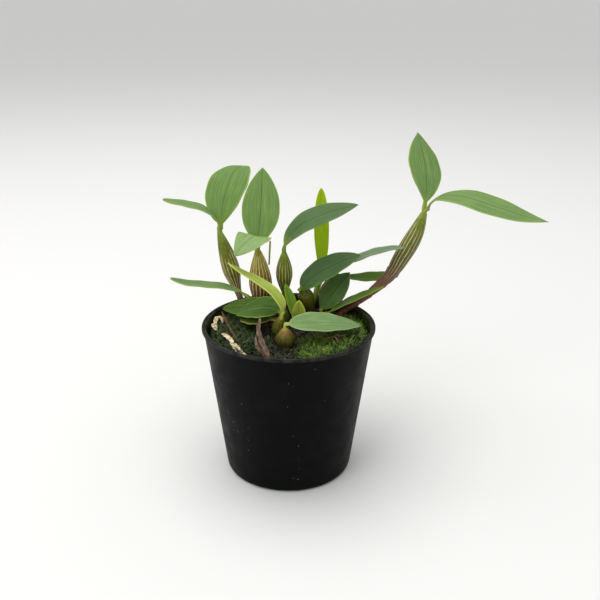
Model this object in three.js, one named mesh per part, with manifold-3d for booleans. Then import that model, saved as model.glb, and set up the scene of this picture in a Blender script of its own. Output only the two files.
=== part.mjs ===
// Dendrobium orchid in a small tapered nursery pot: the pot, the growing medium with its moss,
// the pseudobulbs and shoots, each leaf, and the dry litter on the surface.
// Millimetres, +Z up. The origin is the centre of the pot's flat underside, and -Y is the front.
import * as THREE from 'three';
import Module from 'manifold-3d';
import { mergeVertices } from 'three/addons/utils/BufferGeometryUtils.js';

const wasm = await Module();
wasm.setup();

// Pot: thin black plastic, 60 mm across the rim.
const POT = {
  rimRadius: 30, height: 54, baseRadius: 22.4, wall: 0.9, floor: 1.2,
  lipHeight: 1.4, lipOverhang: 0.6, edgeRound: 0.5, sides: 48,
  drainHoles: 6, drainRadius: 2.2, drainCircle: 14,
};

// Growing medium: bark and coir, a few millimetres below the rim and mounded to the middle.
const MEDIUM = { bottom: 1.5, edge: 48.9, mound: 1.3, gap: 0.3, lump: 0.35, sides: 44, rings: 7 };

// Moss cushions lie in shallow beds in the medium. Angles in degrees from +X, radii from the axis.
const MOSS = {
  bottom: 48.2, gap: 0.5, height: 2.0, lump: 0.45, ringsAcross: 6, stepsAlong: 18,
  tuftHeight: 1.5, tuftRadius: 0.6, tuftRoot: 1.2,
  cushions: [
    { name: 'moss_cushion_right', from: -78, to: 32, inner: 8.5, outer: 26.2, tufts: 46, seed: 11 },
    { name: 'moss_cushion_left', from: 142, to: 234, inner: 11, outer: 26.2, tufts: 32, seed: 23 },
  ],
};

// Leaves: leathery blades with a grooved midrib and a keel below.
const BLADE = { steps: 22, thickness: 0.8, edge: 0.6, groove: 0.1, keel: 0.25, stalk: 0.9, tip: 0.25 };
const BLADE_STATIONS = [-1, -0.5, 0, 0.5, 1];

// Clearance between a stem and the hole it stands in.
const HOLE_GAP = 0.45;

// Colours of the living and dry parts.
const FINISH = {
  pot: { color: 0x17181a, roughness: 0.42 },
  medium: { color: 0x2b221a, roughness: 0.95 },
  moss: { color: 0x4c7a1e, roughness: 0.9 },
  leaf: { color: 0x6f9a5c, roughness: 0.5 },
  darkLeaf: { color: 0x466f3c, roughness: 0.5 },
  newLeaf: { color: 0x8fb62b, roughness: 0.45 },
  bulb: { color: 0x7d7a2a, roughness: 0.5 },
  cane: { color: 0x7b4a35, roughness: 0.55 },
  shoot: { color: 0x7f9a35, roughness: 0.5 },
  drySheath: { color: 0x9c7a52, roughness: 0.8 },
  shred: { color: 0xdcc9a0, roughness: 0.8 },
  stick: { color: 0x4a2f20, roughness: 0.85 },
};

// Outlines of a blade, shared by the leaves. widest is where along the blade it is widest, fullness
// how quickly it narrows from there, cup how far each half folds up in degrees, and stalk the share
// of the length that is a narrow stalk.
const FORMS = {
  oval: { widest: 0.5, fullness: 1.5, cup: 4, stalk: 0.05 },
  broad: { widest: 0.45, fullness: 1.6, cup: 6, stalk: 0.04 },
  lance: { widest: 0.4, fullness: 1.3, cup: 6, stalk: 0.05 },
  slim: { widest: 0.5, fullness: 1, cup: 2, stalk: 0.08 },
  long: { widest: 0.5, fullness: 2.2, cup: 1, stalk: 0.05 },
  tongue: { widest: 0.25, fullness: 1.1, cup: 18, stalk: 0.05 },
  strap: { widest: 0.5, fullness: 1.15, cup: 15, stalk: 0.02 },
  spear: { widest: 0.5, fullness: 1.5, cup: 28, stalk: 0.05 },
};

// Each leaf grows on a stem, its foot offset from the stem's top, or from its own foot in the moss.
// It heads along the compass angle heading (0 is +X, 90 is +Y), climbing at rise degrees, with its
// face rolled by roll. It droops by arch[0] degrees in its near half and arch[1] in its far half,
// turns sideways by sweep, and twists.
const LEAVES = [
  { name: 'leaf_far_left_broad', finish: 'leaf', form: 'oval',
    on: 'pseudobulb_far_left', offset: [0.5, 0.5, 1],
    heading: 90, rise: 55, roll: -30, arch: [5, 70], sweep: -10, twist: 10, length: 32, width: 17.5 },
  { name: 'leaf_far_left_arching', finish: 'leaf', form: 'slim',
    on: 'pseudobulb_far_left', offset: [0, -1, 1.5],
    heading: 180, rise: 95, roll: 5, arch: [90, -10], twist: -5, length: 24.5, width: 7.5 },
  { name: 'leaf_left_upright', finish: 'leaf', form: 'broad', on: 'pseudobulb_left', offset: [0, 1, 1],
    heading: 75, rise: 70, roll: 30, arch: [-10, 0], sweep: 5, length: 28, width: 14 },
  { name: 'leaf_left_folded', finish: 'leaf', form: 'lance', on: 'pseudobulb_left', offset: [0, -1, 1],
    heading: -55, rise: 75, roll: -30, arch: [80, 45], sweep: -25, twist: -40, length: 24.5, width: 11 },
  { name: 'leaf_middle_arching', finish: 'leaf', form: 'broad', on: 'pseudobulb_middle', offset: [0, 0, 1],
    heading: 10, rise: 80, roll: 20, arch: [55, -10], sweep: -40, length: 33, width: 10.5 },
  { name: 'leaf_strap', finish: 'newLeaf', form: 'strap', on: 'stem_strap_leaf', offset: [-0.5, 0, 1],
    heading: 100, rise: 80, roll: 10, arch: [0, -10], twist: -5, length: 31.5, width: 6 },
  { name: 'leaf_stout_bulb', finish: 'darkLeaf', form: 'lance',
    on: 'pseudobulb_stout', offset: [-1, -1.5, 0],
    heading: 5, rise: 55, roll: 20, arch: [25, 10], sweep: -15, length: 26, width: 12.5 },
  { name: 'leaf_short_shoot_broad', finish: 'darkLeaf', form: 'broad',
    on: 'shoot_short', offset: [-1, 1, 1.5],
    heading: 15, rise: 60, roll: 25, arch: [10, -20], sweep: -10, twist: 5, length: 18, width: 10.5 },
  { name: 'leaf_short_shoot_narrow', finish: 'darkLeaf', form: 'lance',
    on: 'shoot_short', offset: [1.5, -3, 2],
    heading: -5, rise: 40, roll: -5, arch: [15, -5], length: 23, width: 9 },
  { name: 'leaf_striped_bulb_upper', finish: 'leaf', form: 'lance',
    on: 'pseudobulb_striped', offset: [1, -0.5, 3],
    heading: -15, rise: 35, arch: [10, 20], length: 27.5, width: 10.5 },
  { name: 'leaf_striped_bulb_lower', finish: 'darkLeaf', form: 'long',
    on: 'pseudobulb_striped', offset: [1, 0.5, 0.5],
    heading: 20, rise: -15, roll: -30, arch: [-10, 5], twist: -20, length: 27, width: 9.5 },
  { name: 'leaf_cane_upright', finish: 'leaf', form: 'long', on: 'cane_right', offset: [0, 1, 1.5],
    heading: 65, rise: 55, roll: 45, arch: [20, 0], sweep: 15, length: 32.5, width: 14 },
  { name: 'leaf_cane_long', finish: 'leaf', form: 'long', on: 'cane_right', offset: [1, -1, 1.5],
    heading: -85, rise: 60, roll: 45, arch: [95, -25], sweep: 10, twist: 5, length: 49, width: 10.5 },
  { name: 'leaf_round_bulb', finish: 'leaf', form: 'lance', on: 'pseudobulb_round', offset: [0, 0.5, 1],
    heading: 5, rise: 5, roll: 15, arch: [15, 10], sweep: 10, twist: -5, length: 27, width: 11 },
  { name: 'leaf_small_bulb_tall', finish: 'newLeaf', form: 'tongue',
    on: 'pseudobulb_small', offset: [0.5, -0.5, 1.5],
    heading: 170, rise: 85, roll: -5, arch: [65, -20], twist: 5, length: 26.5, width: 7.5 },
  { name: 'leaf_small_bulb_wide', finish: 'darkLeaf', form: 'lance',
    on: 'pseudobulb_small', offset: [0, 1, 1.5],
    heading: 150, rise: 15, roll: -20, arch: [25, 15], sweep: 25, twist: 10, length: 18, width: 12.5 },
  { name: 'leaf_small_bulb_low', finish: 'darkLeaf', form: 'oval',
    on: 'pseudobulb_small', offset: [-3, 2, -1.5],
    heading: 170, rise: 0, roll: -10, arch: [5, 15], sweep: -5, twist: 10, length: 12, width: 10 },
  { name: 'leaf_new_shoot_flat', finish: 'darkLeaf', form: 'oval', on: 'shoot_new', offset: [-0.5, 0, 1],
    heading: 180, rise: -10, roll: -30, arch: [0, -15], length: 21, width: 7.5 },
  { name: 'leaf_old_stub', finish: 'leaf', form: 'slim', on: 'stub_old', offset: [-1, 0, 1],
    heading: 175, rise: 40, roll: 5, arch: [45, -30], sweep: 5, length: 28.5, width: 7.5 },
  { name: 'spear_tall', finish: 'newLeaf', form: 'spear', foot: [3, 10, 49],
    heading: 130, rise: 55, arch: [-10, -5], twist: -10, length: 15.5, width: 4.5 },
  { name: 'spear_short', finish: 'newLeaf', form: 'spear', foot: [3.5, 7.5, 49],
    heading: 90, rise: 90, arch: [0, 0], length: 10.5, width: 5.5 },
];

// Each stem follows a route of [x, y, z] points. Its radius is foot at the bottom, swells to belly and
// narrows to neck: swell holds the heights where it starts to swell, is fullest and has narrowed.
// Raised sheath veins are ribs on it. sides is twice their number, and rows is how many rings it has.
const STEMS = [
  { name: 'pseudobulb_far_left', finish: 'bulb', sides: 16, rows: 15, rib: 0.12,
    foot: 1.1, belly: 3.2, neck: 0.9, swell: [55.5, 66, 79.5],
    route: [[-15.5, 19.5, 44], [-16.5, 20, 50], [-18, 20, 55], [-20.5, 23, 62], [-23, 23, 71],
      [-25.5, 24.5, 79.5]] },
  { name: 'pseudobulb_left', finish: 'bulb', sides: 16, rows: 14, rib: 0.15,
    foot: 1.8, belly: 4.1, neck: 0.9, swell: [50, 62, 74.5],
    route: [[-10.5, 18.5, 44], [-10.5, 18.5, 62], [-11, 18.5, 70], [-11.5, 19, 74.5]] },
  { name: 'pseudobulb_middle', finish: 'bulb', sides: 16, rows: 15, rib: 0.12,
    foot: 1, belly: 3, neck: 0.8, swell: [55.5, 64.5, 73],
    route: [[0.5, 21.5, 44], [0.5, 21.5, 50], [-1.5, 21, 57], [-2, 21, 65], [-2, 21, 73]] },
  { name: 'pseudobulb_stout', finish: 'bulb', sides: 16, rows: 9, rib: 0.12,
    foot: 1.6, belly: 2.9, neck: 0.8, swell: [49, 57, 60],
    route: [[8, 19, 44], [7.5, 19, 50.5], [6.5, 18.5, 54.5], [5.5, 18, 58.5], [4.5, 17, 60]] },
  { name: 'stem_strap_leaf', finish: 'shoot', sides: 12, rows: 7, rib: 0,
    foot: 0.9, belly: 1.1, neck: 1, swell: [50, 57, 61.5],
    route: [[8.5, 24, 44], [8.5, 24, 50.5], [9.5, 24.5, 53.5], [10.5, 27, 57.5], [12.5, 29.5, 61.5]] },
  { name: 'pseudobulb_striped', finish: 'bulb', sides: 12, rows: 9, rib: 0.1,
    foot: 1.1, belly: 1.4, neck: 0.8, swell: [49, 57, 62],
    route: [[12, 22.5, 44], [12, 22.5, 50.5], [12.5, 24.5, 56], [14, 26, 59], [16.5, 26, 62]] },
  { name: 'shoot_short', finish: 'shoot', sides: 12, rows: 4, rib: 0,
    foot: 1.3, belly: 1.5, neck: 1.3, swell: [44, 48, 50],
    route: [[12.5, 16.5, 44], [12.5, 16.5, 50]] },
  { name: 'cane_right', finish: 'cane', sides: 16, rows: 20, rib: 0.12,
    foot: 1, belly: 3.2, neck: 1, swell: [52, 74, 86.5],
    route: [[14.5, 12.5, 46], [18, 13, 52], [23.5, 14, 55.5], [30, 18, 59], [37, 22, 64],
      [41.5, 24.5, 70.5], [46, 26.5, 78.5], [49, 28, 86]] },
  { name: 'pseudobulb_round', finish: 'bulb', sides: 20, rows: 11, rib: 0.1,
    foot: 1.5, belly: 3.3, neck: 0.8, swell: [47.5, 52.5, 56.5],
    route: [[-1, -10.5, 44], [-1, -10.5, 56.5]] },
  { name: 'pseudobulb_small', finish: 'bulb', sides: 16, rows: 9, rib: 0.1,
    foot: 1.1, belly: 2.2, neck: 0.9, swell: [46, 52.5, 57],
    route: [[-4, 1, 44], [-4, 0.5, 49.5], [-3.5, -0.5, 53], [-2.5, -2.5, 57]] },
  { name: 'shoot_new', finish: 'shoot', sides: 12, rows: 6, rib: 0,
    foot: 1.1, belly: 1.2, neck: 0.8, swell: [46, 51, 56.5],
    route: [[-0.5, 12.5, 44], [-1, 12, 50], [-2, 11.5, 54], [-2.5, 11, 56.5]] },
  { name: 'stub_old', finish: 'bulb', sides: 12, rows: 6, rib: 0,
    foot: 1, belly: 1.2, neck: 0.8, swell: [45, 52, 57],
    route: [[-14, 15.5, 44], [-14, 15.5, 50], [-14.5, 15.5, 57]] },
  { name: 'old_flower_stalk', finish: 'shoot', sides: 8, rows: 5, rib: 0,
    foot: 0.3, belly: 0.35, neck: 0.3, swell: [70, 73.5, 77],
    route: [[-7.5, 21.5, 70], [-7, 21.5, 77]] },
];

// Dry litter on the surface: each piece is one or more flat strips joined, through [x, y, z] points.
// faces is the way their flat side looks, and a strip as wide as it is thick is a twig.
const LITTER = [
  { name: 'dry_stick', finish: 'stick', faces: [0, 0, 1], strips: [
    { width: 0.9, thickness: 0.9, points: [[-24, 9.5, 54], [-21, 0, 53], [-16, -13.5, 51.5]] }] },
  { name: 'dry_shreds_upper', finish: 'shred', faces: [0, 0, 1], strips: [
    { width: 1.4, thickness: 0.6, points: [[-26, 3.5, 51], [-26, 6, 52], [-25.5, 8, 52.5], [-24, 7.5, 52.5],
      [-23.5, 5.5, 51.5]] },
    { width: 1.8, thickness: 0.6, points: [[-26.5, 5, 51.5], [-26, 1.5, 52], [-25, -1.5, 51.5]] }] },
  { name: 'dry_shreds_lower', finish: 'shred', faces: [0, 0, 1], strips: [
    { width: 1.8, thickness: 0.6, points: [[-22.5, -3.5, 51.5], [-21.5, -7.5, 52.5], [-19.5, -11, 52.5],
      [-18, -14, 52]] },
    { width: 2.2, thickness: 0.6, points: [[-19, -12.5, 52], [-17.5, -15.5, 52], [-15.5, -18.5, 51],
      [-13, -20.5, 50.5]] }] },
  { name: 'dry_sheath_tall', finish: 'drySheath', faces: [0, -1, 0], strips: [
    { width: 1.7, thickness: 0.6, points: [[-6, -21, 48.5], [-6.5, -20.5, 51.5], [-8.5, -19, 55.5],
      [-9.5, -18, 59], [-9, -17, 62.5]] },
    { width: 1.1, thickness: 0.6, points: [[-6.5, -20.5, 48.5], [-8, -20, 51.5], [-10, -19.5, 54],
      [-10.5, -18, 56.5]] }] },
  { name: 'twig_on_moss', finish: 'stick', faces: [0, 0, 1], strips: [
    { width: 0.6, thickness: 0.6, points: [[12, -13.5, 53.5], [15.5, -11.5, 54], [19, -10, 53.5]] },
    { width: 0.6, thickness: 0.6, points: [[14.5, -10, 53], [15.5, -12, 54], [17, -15, 53]] }] },
];

// A repeatable random number from 0 to 1.
function seeded(seed) {
  let state = seed * 2654435761 % 4294967296;
  return () => {
    state = (state * 1664525 + 1013904223) % 4294967296;
    return state / 4294967296;
  };
}

// Joins a run of closed rings of points into one body, with a fan of triangles over each end.
// From the corner mirroredFrom on, the four-sided faces are split along their other diagonal, so
// that the two faces of a blade are split alike.
function skin(rings, mirroredFrom = Infinity) {
  const corners = rings[0].length;
  const positions = rings.flat().flatMap((p) => [p.x, p.y, p.z]);
  const index = [];
  for (let row = 0; row + 1 < rings.length; row += 1) {
    for (let corner = 0; corner < corners; corner += 1) {
      const next = (corner + 1) % corners;
      const a = row * corners + corner;
      const b = row * corners + next;
      const c = a + corners;
      const d = b + corners;
      if (corner < mirroredFrom) index.push(a, b, d, a, d, c);
      else index.push(a, b, c, b, d, c);
    }
  }
  const addFan = (ring, start, flipped) => {
    const centre = ring.reduce((sum, p) => sum.add(p), new THREE.Vector3()).divideScalar(corners);
    const middle = positions.length / 3;
    positions.push(centre.x, centre.y, centre.z);
    for (let corner = 0; corner < corners; corner += 1) {
      const next = (corner + 1) % corners;
      if (flipped) index.push(middle, start + next, start + corner);
      else index.push(middle, start + corner, start + next);
    }
  };
  addFan(rings[0], 0, true);
  addFan(rings[rings.length - 1], (rings.length - 1) * corners, false);
  const geometry = new THREE.BufferGeometry();
  geometry.setAttribute('position', new THREE.Float32BufferAttribute(positions, 3));
  geometry.setIndex(index);
  return geometry;
}

// Turns a closed geometry into a solid that can be joined and cut.
function toSolid(geometry) {
  const bare = geometry.clone();
  bare.deleteAttribute('normal');
  bare.deleteAttribute('uv');
  const merged = mergeVertices(bare, 1e-4);
  const mesh = new wasm.Mesh({
    numProp: 3,
    vertProperties: new Float32Array(merged.attributes.position.array),
    triVerts: new Uint32Array(merged.index.array),
  });
  return new wasm.Manifold(mesh);
}

// Turns a solid back into a geometry. Scraps that a cut leaves loose are dropped.
function toGeometry(solid) {
  const pieces = solid.decompose();
  const body = pieces.reduce((best, piece) => (piece.volume() > best.volume() ? piece : best));
  const mesh = body.getMesh();
  const geometry = new THREE.BufferGeometry();
  geometry.setAttribute('position', new THREE.BufferAttribute(mesh.vertProperties, 3));
  geometry.setIndex(new THREE.BufferAttribute(mesh.triVerts, 1));
  return geometry;
}

// Names a geometry as one piece of the plant or pot.
function piece(name, finish, geometry) {
  const mesh = new THREE.Mesh(geometry, new THREE.MeshStandardMaterial({ ...FINISH[finish], metalness: 0 }));
  mesh.name = name;
  return mesh;
}

// Pot: a lathe-turned wall with a small lip, a flat floor and round drain holes.
function potGeometry() {
  const { rimRadius, height, baseRadius, wall, floor, lipHeight, lipOverhang, edgeRound } = POT;
  const wallTop = rimRadius - lipOverhang;
  const bore = wallTop - wall;
  const profile = [
    [0, 0], [baseRadius - 3 * edgeRound, 0], [baseRadius - edgeRound, 0.3 * edgeRound],
    [baseRadius, 3 * edgeRound],
    [wallTop - 0.1, height - lipHeight], [rimRadius - 0.1, height - 0.85 * lipHeight],
    [rimRadius, height - 0.6 * lipHeight],
    [rimRadius, height - 0.25 * lipHeight], [rimRadius - 0.3, height], [bore + 0.1, height],
    [bore, height - 0.3],
    [baseRadius - wall - 0.2, floor + 2 * edgeRound], [baseRadius - wall - 2 * edgeRound, floor], [0, floor],
  ].map(([radius, z]) => new THREE.Vector2(radius, z));
  const wallGeometry = new THREE.LatheGeometry(profile, POT.sides).rotateX(Math.PI / 2);
  let solid = toSolid(wallGeometry);
  for (let hole = 0; hole < POT.drainHoles; hole += 1) {
    const angle = (hole + 0.5) * 2 * Math.PI / POT.drainHoles;
    const drill = new THREE.CylinderGeometry(POT.drainRadius, POT.drainRadius, 4 * floor, 12);
    drill.rotateX(Math.PI / 2);
    drill.translate(POT.drainCircle * Math.cos(angle), POT.drainCircle * Math.sin(angle), 0);
    solid = solid.subtract(toSolid(drill));
  }
  return toGeometry(solid);
}

// Radius of the pot's inner wall at a height.
function boreRadius(z) {
  const bottom = POT.baseRadius - POT.wall - 0.2;
  const top = POT.rimRadius - POT.lipOverhang - POT.wall;
  const low = POT.floor + 2 * POT.edgeRound;
  return bottom + (top - bottom) * (z - low) / (POT.height - 0.3 - low);
}

// Lumpy surface of the medium: a low mound with chips of bark standing out of it.
function groundHeight(x, y) {
  const radius = Math.hypot(x, y);
  const mound = MEDIUM.mound * Math.cos(Math.min(radius / 28, 1) * Math.PI / 2);
  const lumps = Math.sin(1.1 * x + 0.7 * y) + Math.sin(0.9 * y - 1.3 * x + 2) + Math.sin(2.3 * x - 1.9 * y);
  return MEDIUM.edge + mound + MEDIUM.lump * lumps;
}

// Medium: fills the pot to just under the rim.
function mediumGeometry() {
  const { bottom, edge, gap, sides, rings } = MEDIUM;
  const circle = (radius, height) => Array.from({ length: sides }, (_, side) => {
    const angle = side * 2 * Math.PI / sides;
    const x = radius * Math.cos(angle);
    const y = radius * Math.sin(angle);
    return new THREE.Vector3(x, y, height ?? groundHeight(x, y));
  });
  const skirt = edge - 2 * MEDIUM.lump - 1;
  const all = [circle(boreRadius(bottom) - gap - 1, bottom), circle(boreRadius(bottom) - gap, bottom + 1),
    circle(boreRadius(skirt) - gap, skirt)];
  const reach = boreRadius(edge) - gap - 0.3;
  for (let ring = 0; ring < rings; ring += 1) all.push(circle(reach * (1 - ring / rings)));
  return skin(all);
}

// Outline of a moss cushion at a share across from its inner edge to its outer one. grow widens it.
function mossPoint(cushion, across, along, grow) {
  const from = cushion.from * Math.PI / 180 - grow / cushion.inner;
  const to = cushion.to * Math.PI / 180 + grow / cushion.inner;
  const angle = from + (to - from) * along;
  const wobble = 1.3 * Math.sin(9 * angle + cushion.seed) + 0.9 * Math.sin(17 * angle);
  const narrowing = 1 - Math.sin(Math.PI * along) ** 0.5;
  const inner = cushion.inner + wobble - grow + 5 * narrowing;
  const outer = cushion.outer + grow - 2.5 * narrowing;
  const radius = inner + (outer - inner) * across;
  return [radius * Math.cos(angle), radius * Math.sin(angle)];
}

// One ring of points round a moss cushion: out along its near edge and back along its far one.
function mossRing(cushion, inset, height, grow) {
  const { stepsAlong } = MOSS;
  const ring = [];
  for (let step = 0; step <= stepsAlong; step += 1) {
    const along = inset + (1 - 2 * inset) * step / stepsAlong;
    ring.push([...mossPoint(cushion, 1 - inset, along, grow)]);
  }
  for (let step = stepsAlong; step >= 0; step -= 1) {
    const along = inset + (1 - 2 * inset) * step / stepsAlong;
    ring.push([...mossPoint(cushion, inset, along, grow)]);
  }
  return ring.map(([x, y]) => new THREE.Vector3(x, y, typeof height === 'number' ? height : height(x, y)));
}

// Top of a moss cushion: domed to its middle, with small heads of moss standing out.
function mossHeight(inset, x, y) {
  const dome = Math.sin(Math.min(inset * 2 + 0.25, 1) * Math.PI / 2);
  const heads = Math.sin(3.1 * x + 1.7 * y) * Math.sin(2.6 * y - 1.1 * x);
  return MEDIUM.edge + 0.4 + MOSS.height * dome + MOSS.lump * heads;
}

// The bed that a cushion lies in, cut from the medium.
function mossBed(cushion) {
  return toSolid(skin([
    mossRing(cushion, 0, MOSS.bottom - MOSS.gap, MOSS.gap),
    mossRing(cushion, 0, MEDIUM.edge + 8, MOSS.gap),
  ]));
}

// Moss cushion: a low dome with leafy tips fused over it.
function mossSolid(cushion) {
  const rings = [mossRing(cushion, 0.02, MOSS.bottom, 0), mossRing(cushion, 0, MOSS.bottom + 0.5, 0)];
  for (let ring = 0; ring < MOSS.ringsAcross; ring += 1) {
    const inset = 0.46 * ring / (MOSS.ringsAcross - 1);
    rings.push(mossRing(cushion, inset, (x, y) => mossHeight(inset, x, y), 0));
  }
  let solid = toSolid(skin(rings));
  const random = seeded(cushion.seed);
  const tips = [];
  for (let tuft = 0; tuft < cushion.tufts; tuft += 1) {
    const across = 0.12 + 0.76 * random();
    const [x, y] = mossPoint(cushion, across, 0.06 + 0.88 * random(), 0);
    const tip = new THREE.ConeGeometry(MOSS.tuftRadius, MOSS.tuftHeight + MOSS.tuftRoot, 3);
    tip.rotateX(Math.PI / 2).rotateY((random() - 0.5) * 1.4).rotateX((random() - 0.5) * 1.4);
    const root = mossHeight(Math.min(across, 1 - across), x, y) + (MOSS.tuftHeight - MOSS.tuftRoot) / 2;
    tips.push(toSolid(tip.translate(x, y, root)));
  }
  for (const tip of tips) solid = solid.add(tip);
  return solid;
}

// Half width of a blade, as a share of its greatest, at a share along it.
function bladeShape(form, along) {
  const share = Math.min(Math.max((along - form.stalk) / (1 - form.stalk), 0), 1);
  const { widest, fullness } = form;
  if (share <= 0 || share >= 1) return 0;
  return ((share / widest) ** widest * ((1 - share) / (1 - widest)) ** (1 - widest)) ** fullness;
}

// Where a leaf starts: beside the top of its stem, or where a young spear leaves the moss.
function leafFoot(leaf) {
  if (!leaf.on) return new THREE.Vector3(...leaf.foot);
  const stem = STEMS.find(({ name }) => name === leaf.on);
  return new THREE.Vector3(...stem.route.at(-1)).add(new THREE.Vector3(...leaf.offset));
}

// Leaf: sections of blade along a spine that bends a little at each step.
function leafGeometry(leaf) {
  const turn = THREE.MathUtils.degToRad;
  const { steps } = BLADE;
  const { arch, roll = 0, sweep = 0, twist = 0 } = leaf;
  const form = FORMS[leaf.form];
  const heading = turn(leaf.heading);
  const rise = turn(leaf.rise);
  const cup = turn(form.cup);
  const ahead = new THREE.Vector3(
    Math.cos(rise) * Math.cos(heading), Math.cos(rise) * Math.sin(heading), Math.sin(rise));
  const side = new THREE.Vector3(Math.sin(heading), -Math.cos(heading), 0).applyAxisAngle(ahead, turn(roll));
  const face = new THREE.Vector3().crossVectors(side, ahead);
  const spine = leafFoot(leaf);
  const rings = [];
  const addSection = (along) => {
    const shape = leaf.width / 2 * bladeShape(form, along);
    const stalk = along < 0.5 ? BLADE.stalk * (1 - along) ** 2 : 0;
    const half = Math.max(shape, stalk, BLADE.tip);
    const top = [];
    const bottom = [];
    for (const station of BLADE_STATIONS) {
      const out = Math.abs(station);
      const fold = spine.clone()
        .addScaledVector(side, station * half * Math.cos(cup))
        .addScaledVector(face, out * half * Math.sin(cup));
      const middle = out === 0 ? Math.min(half, 1) : 0;
      const thick = (BLADE.thickness + (BLADE.edge - BLADE.thickness) * out) / 2;
      top.push(fold.clone().addScaledVector(face, thick - BLADE.groove * middle));
      bottom.unshift(fold.clone().addScaledVector(face, -thick - BLADE.keel * middle));
    }
    rings.push([...bottom, ...top]);
  };
  addSection(0);
  for (let step = 0; step < steps; step += 1) {
    const along = (step + 0.5) / steps;
    const before = ahead.clone();
    const droop = turn(arch[0] * 3 * (1 - along) ** 2 + arch[1] * 3 * along ** 2) / steps;
    ahead.applyAxisAngle(side, -droop);
    face.crossVectors(side, ahead);
    const swing = turn(sweep * 2 * (1 - along)) / steps;
    ahead.applyAxisAngle(face, swing);
    side.applyAxisAngle(face, swing).applyAxisAngle(ahead, turn(twist) / steps);
    face.crossVectors(side, ahead);
    spine.addScaledVector(before.add(ahead), leaf.length / steps / 2);
    if (step % 2 === 1) addSection((step + 1) / steps);
  }
  return skin(rings, BLADE_STATIONS.length);
}

// Curve through a piece's points, made longer at both ends by grow.
function spineCurve(points, grow) {
  const spine = points.map(([x, y, z]) => new THREE.Vector3(x, y, z));
  for (const [end, next] of [[spine[0], spine[1]], [spine.at(-1), spine.at(-2)]]) {
    end.addScaledVector(end.clone().sub(next).normalize(), grow);
  }
  return new THREE.CatmullRomCurve3(spine);
}

// Radius of a stem at a height.
function stemRadius({ foot, belly, neck, swell: [start, fullest, end] }, height) {
  const share = (from, to) => Math.min(Math.max((height - from) / (to - from), 0), 1);
  if (height > fullest) return neck + (belly - neck) * Math.cos(share(fullest, end) * Math.PI / 2);
  return foot + (belly - foot) * (1 - Math.cos(share(start, fullest) * Math.PI)) / 2;
}

// Rings of a stem along its curve. grow widens it for the hole that it stands in.
function stemRings(stem, grow, sides, rib) {
  const centres = spineCurve(stem.route, grow);
  const rings = [];
  for (let row = 0; row <= stem.rows; row += 1) {
    const along = row / stem.rows;
    const centre = centres.getPoint(along);
    const ahead = centres.getTangent(along);
    const right = new THREE.Vector3(0, 1, 0).cross(ahead).normalize();
    const back = ahead.clone().cross(right);
    const girth = stemRadius(stem, centre.z) + grow;
    rings.push(Array.from({ length: sides }, (_, corner) => {
      const angle = corner * 2 * Math.PI / sides;
      const radius = girth + rib * (corner % 2 ? -1 : 1) * Math.min(girth / 2, 1);
      return centre.clone()
        .addScaledVector(right, radius * Math.cos(angle))
        .addScaledVector(back, radius * Math.sin(angle));
    }));
  }
  return rings;
}

// One flat strip of litter as a closed body. grow thickens it for the hollow that it lies in.
function stripSolid(strip, faces, grow) {
  const curve = spineCurve(strip.points, grow);
  const rows = 3 * (strip.points.length - 1);
  const thick = strip.thickness / 2 + grow;
  const rings = [];
  for (let row = 0; row <= rows; row += 1) {
    const along = row / rows;
    const centre = curve.getPoint(along);
    const ahead = curve.getTangent(along);
    const across = new THREE.Vector3(...faces).cross(ahead).normalize();
    const up = ahead.clone().cross(across);
    const taper = Math.sin(Math.PI * (0.15 + 0.7 * along));
    const half = Math.max(strip.width / 2 * taper, strip.thickness / 2) + grow;
    const corners = [[1, 0], [0.6, 0.8], [-0.6, 0.8], [-1, 0], [-0.6, -0.8], [0.6, -0.8]];
    rings.push(corners.map(([a, b]) => centre.clone()
      .addScaledVector(across, a * half)
      .addScaledVector(up, b * thick)));
  }
  return toSolid(skin(rings));
}

// All strips of one piece of litter as one body.
function litterSolid(item, grow) {
  const strips = item.strips.map((strip) => stripSolid(strip, item.faces, grow));
  return strips.reduce((sum, solid) => sum.add(solid));
}

// Plain holes that the stems, young spears and litter leave in the medium and the moss.
function holes() {
  const stems = STEMS.map((stem) => toSolid(skin(stemRings(stem, HOLE_GAP, 12, 0))));
  const litter = LITTER.map((item) => litterSolid(item, HOLE_GAP));
  const spears = LEAVES.filter((leaf) => leaf.foot).map((leaf) => {
    const [x, y, z] = leaf.foot;
    return toSolid(new THREE.CylinderGeometry(1.6, 1.6, 8, 10).rotateX(Math.PI / 2).translate(x, y, z + 2));
  });
  return [...stems, ...litter, ...spears].reduce((sum, solid) => sum.add(solid));
}

const orchid = new THREE.Group();
const cuts = holes();

orchid.add(piece('pot', 'pot', potGeometry()));

let medium = toSolid(mediumGeometry());
for (const cushion of MOSS.cushions) medium = medium.subtract(mossBed(cushion));
orchid.add(piece('growing_medium', 'medium', toGeometry(medium.subtract(cuts))));

for (const cushion of MOSS.cushions) {
  orchid.add(piece(cushion.name, 'moss', toGeometry(mossSolid(cushion).subtract(cuts))));
}
for (const stem of STEMS) {
  orchid.add(piece(stem.name, stem.finish, skin(stemRings(stem, 0, stem.sides, stem.rib))));
}
for (const leaf of LEAVES) orchid.add(piece(leaf.name, leaf.finish, leafGeometry(leaf)));
for (const item of LITTER) orchid.add(piece(item.name, item.finish, toGeometry(litterSolid(item, 0))));

export default orchid;
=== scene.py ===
"""Potted dendrobium orchid: pot, bark and moss, pseudobulbs, a leaning cane, leaves and dry litter."""

import math
import random

import bpy
import numpy as np
from mathutils import Euler, Matrix, Quaternion, Vector


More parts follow.
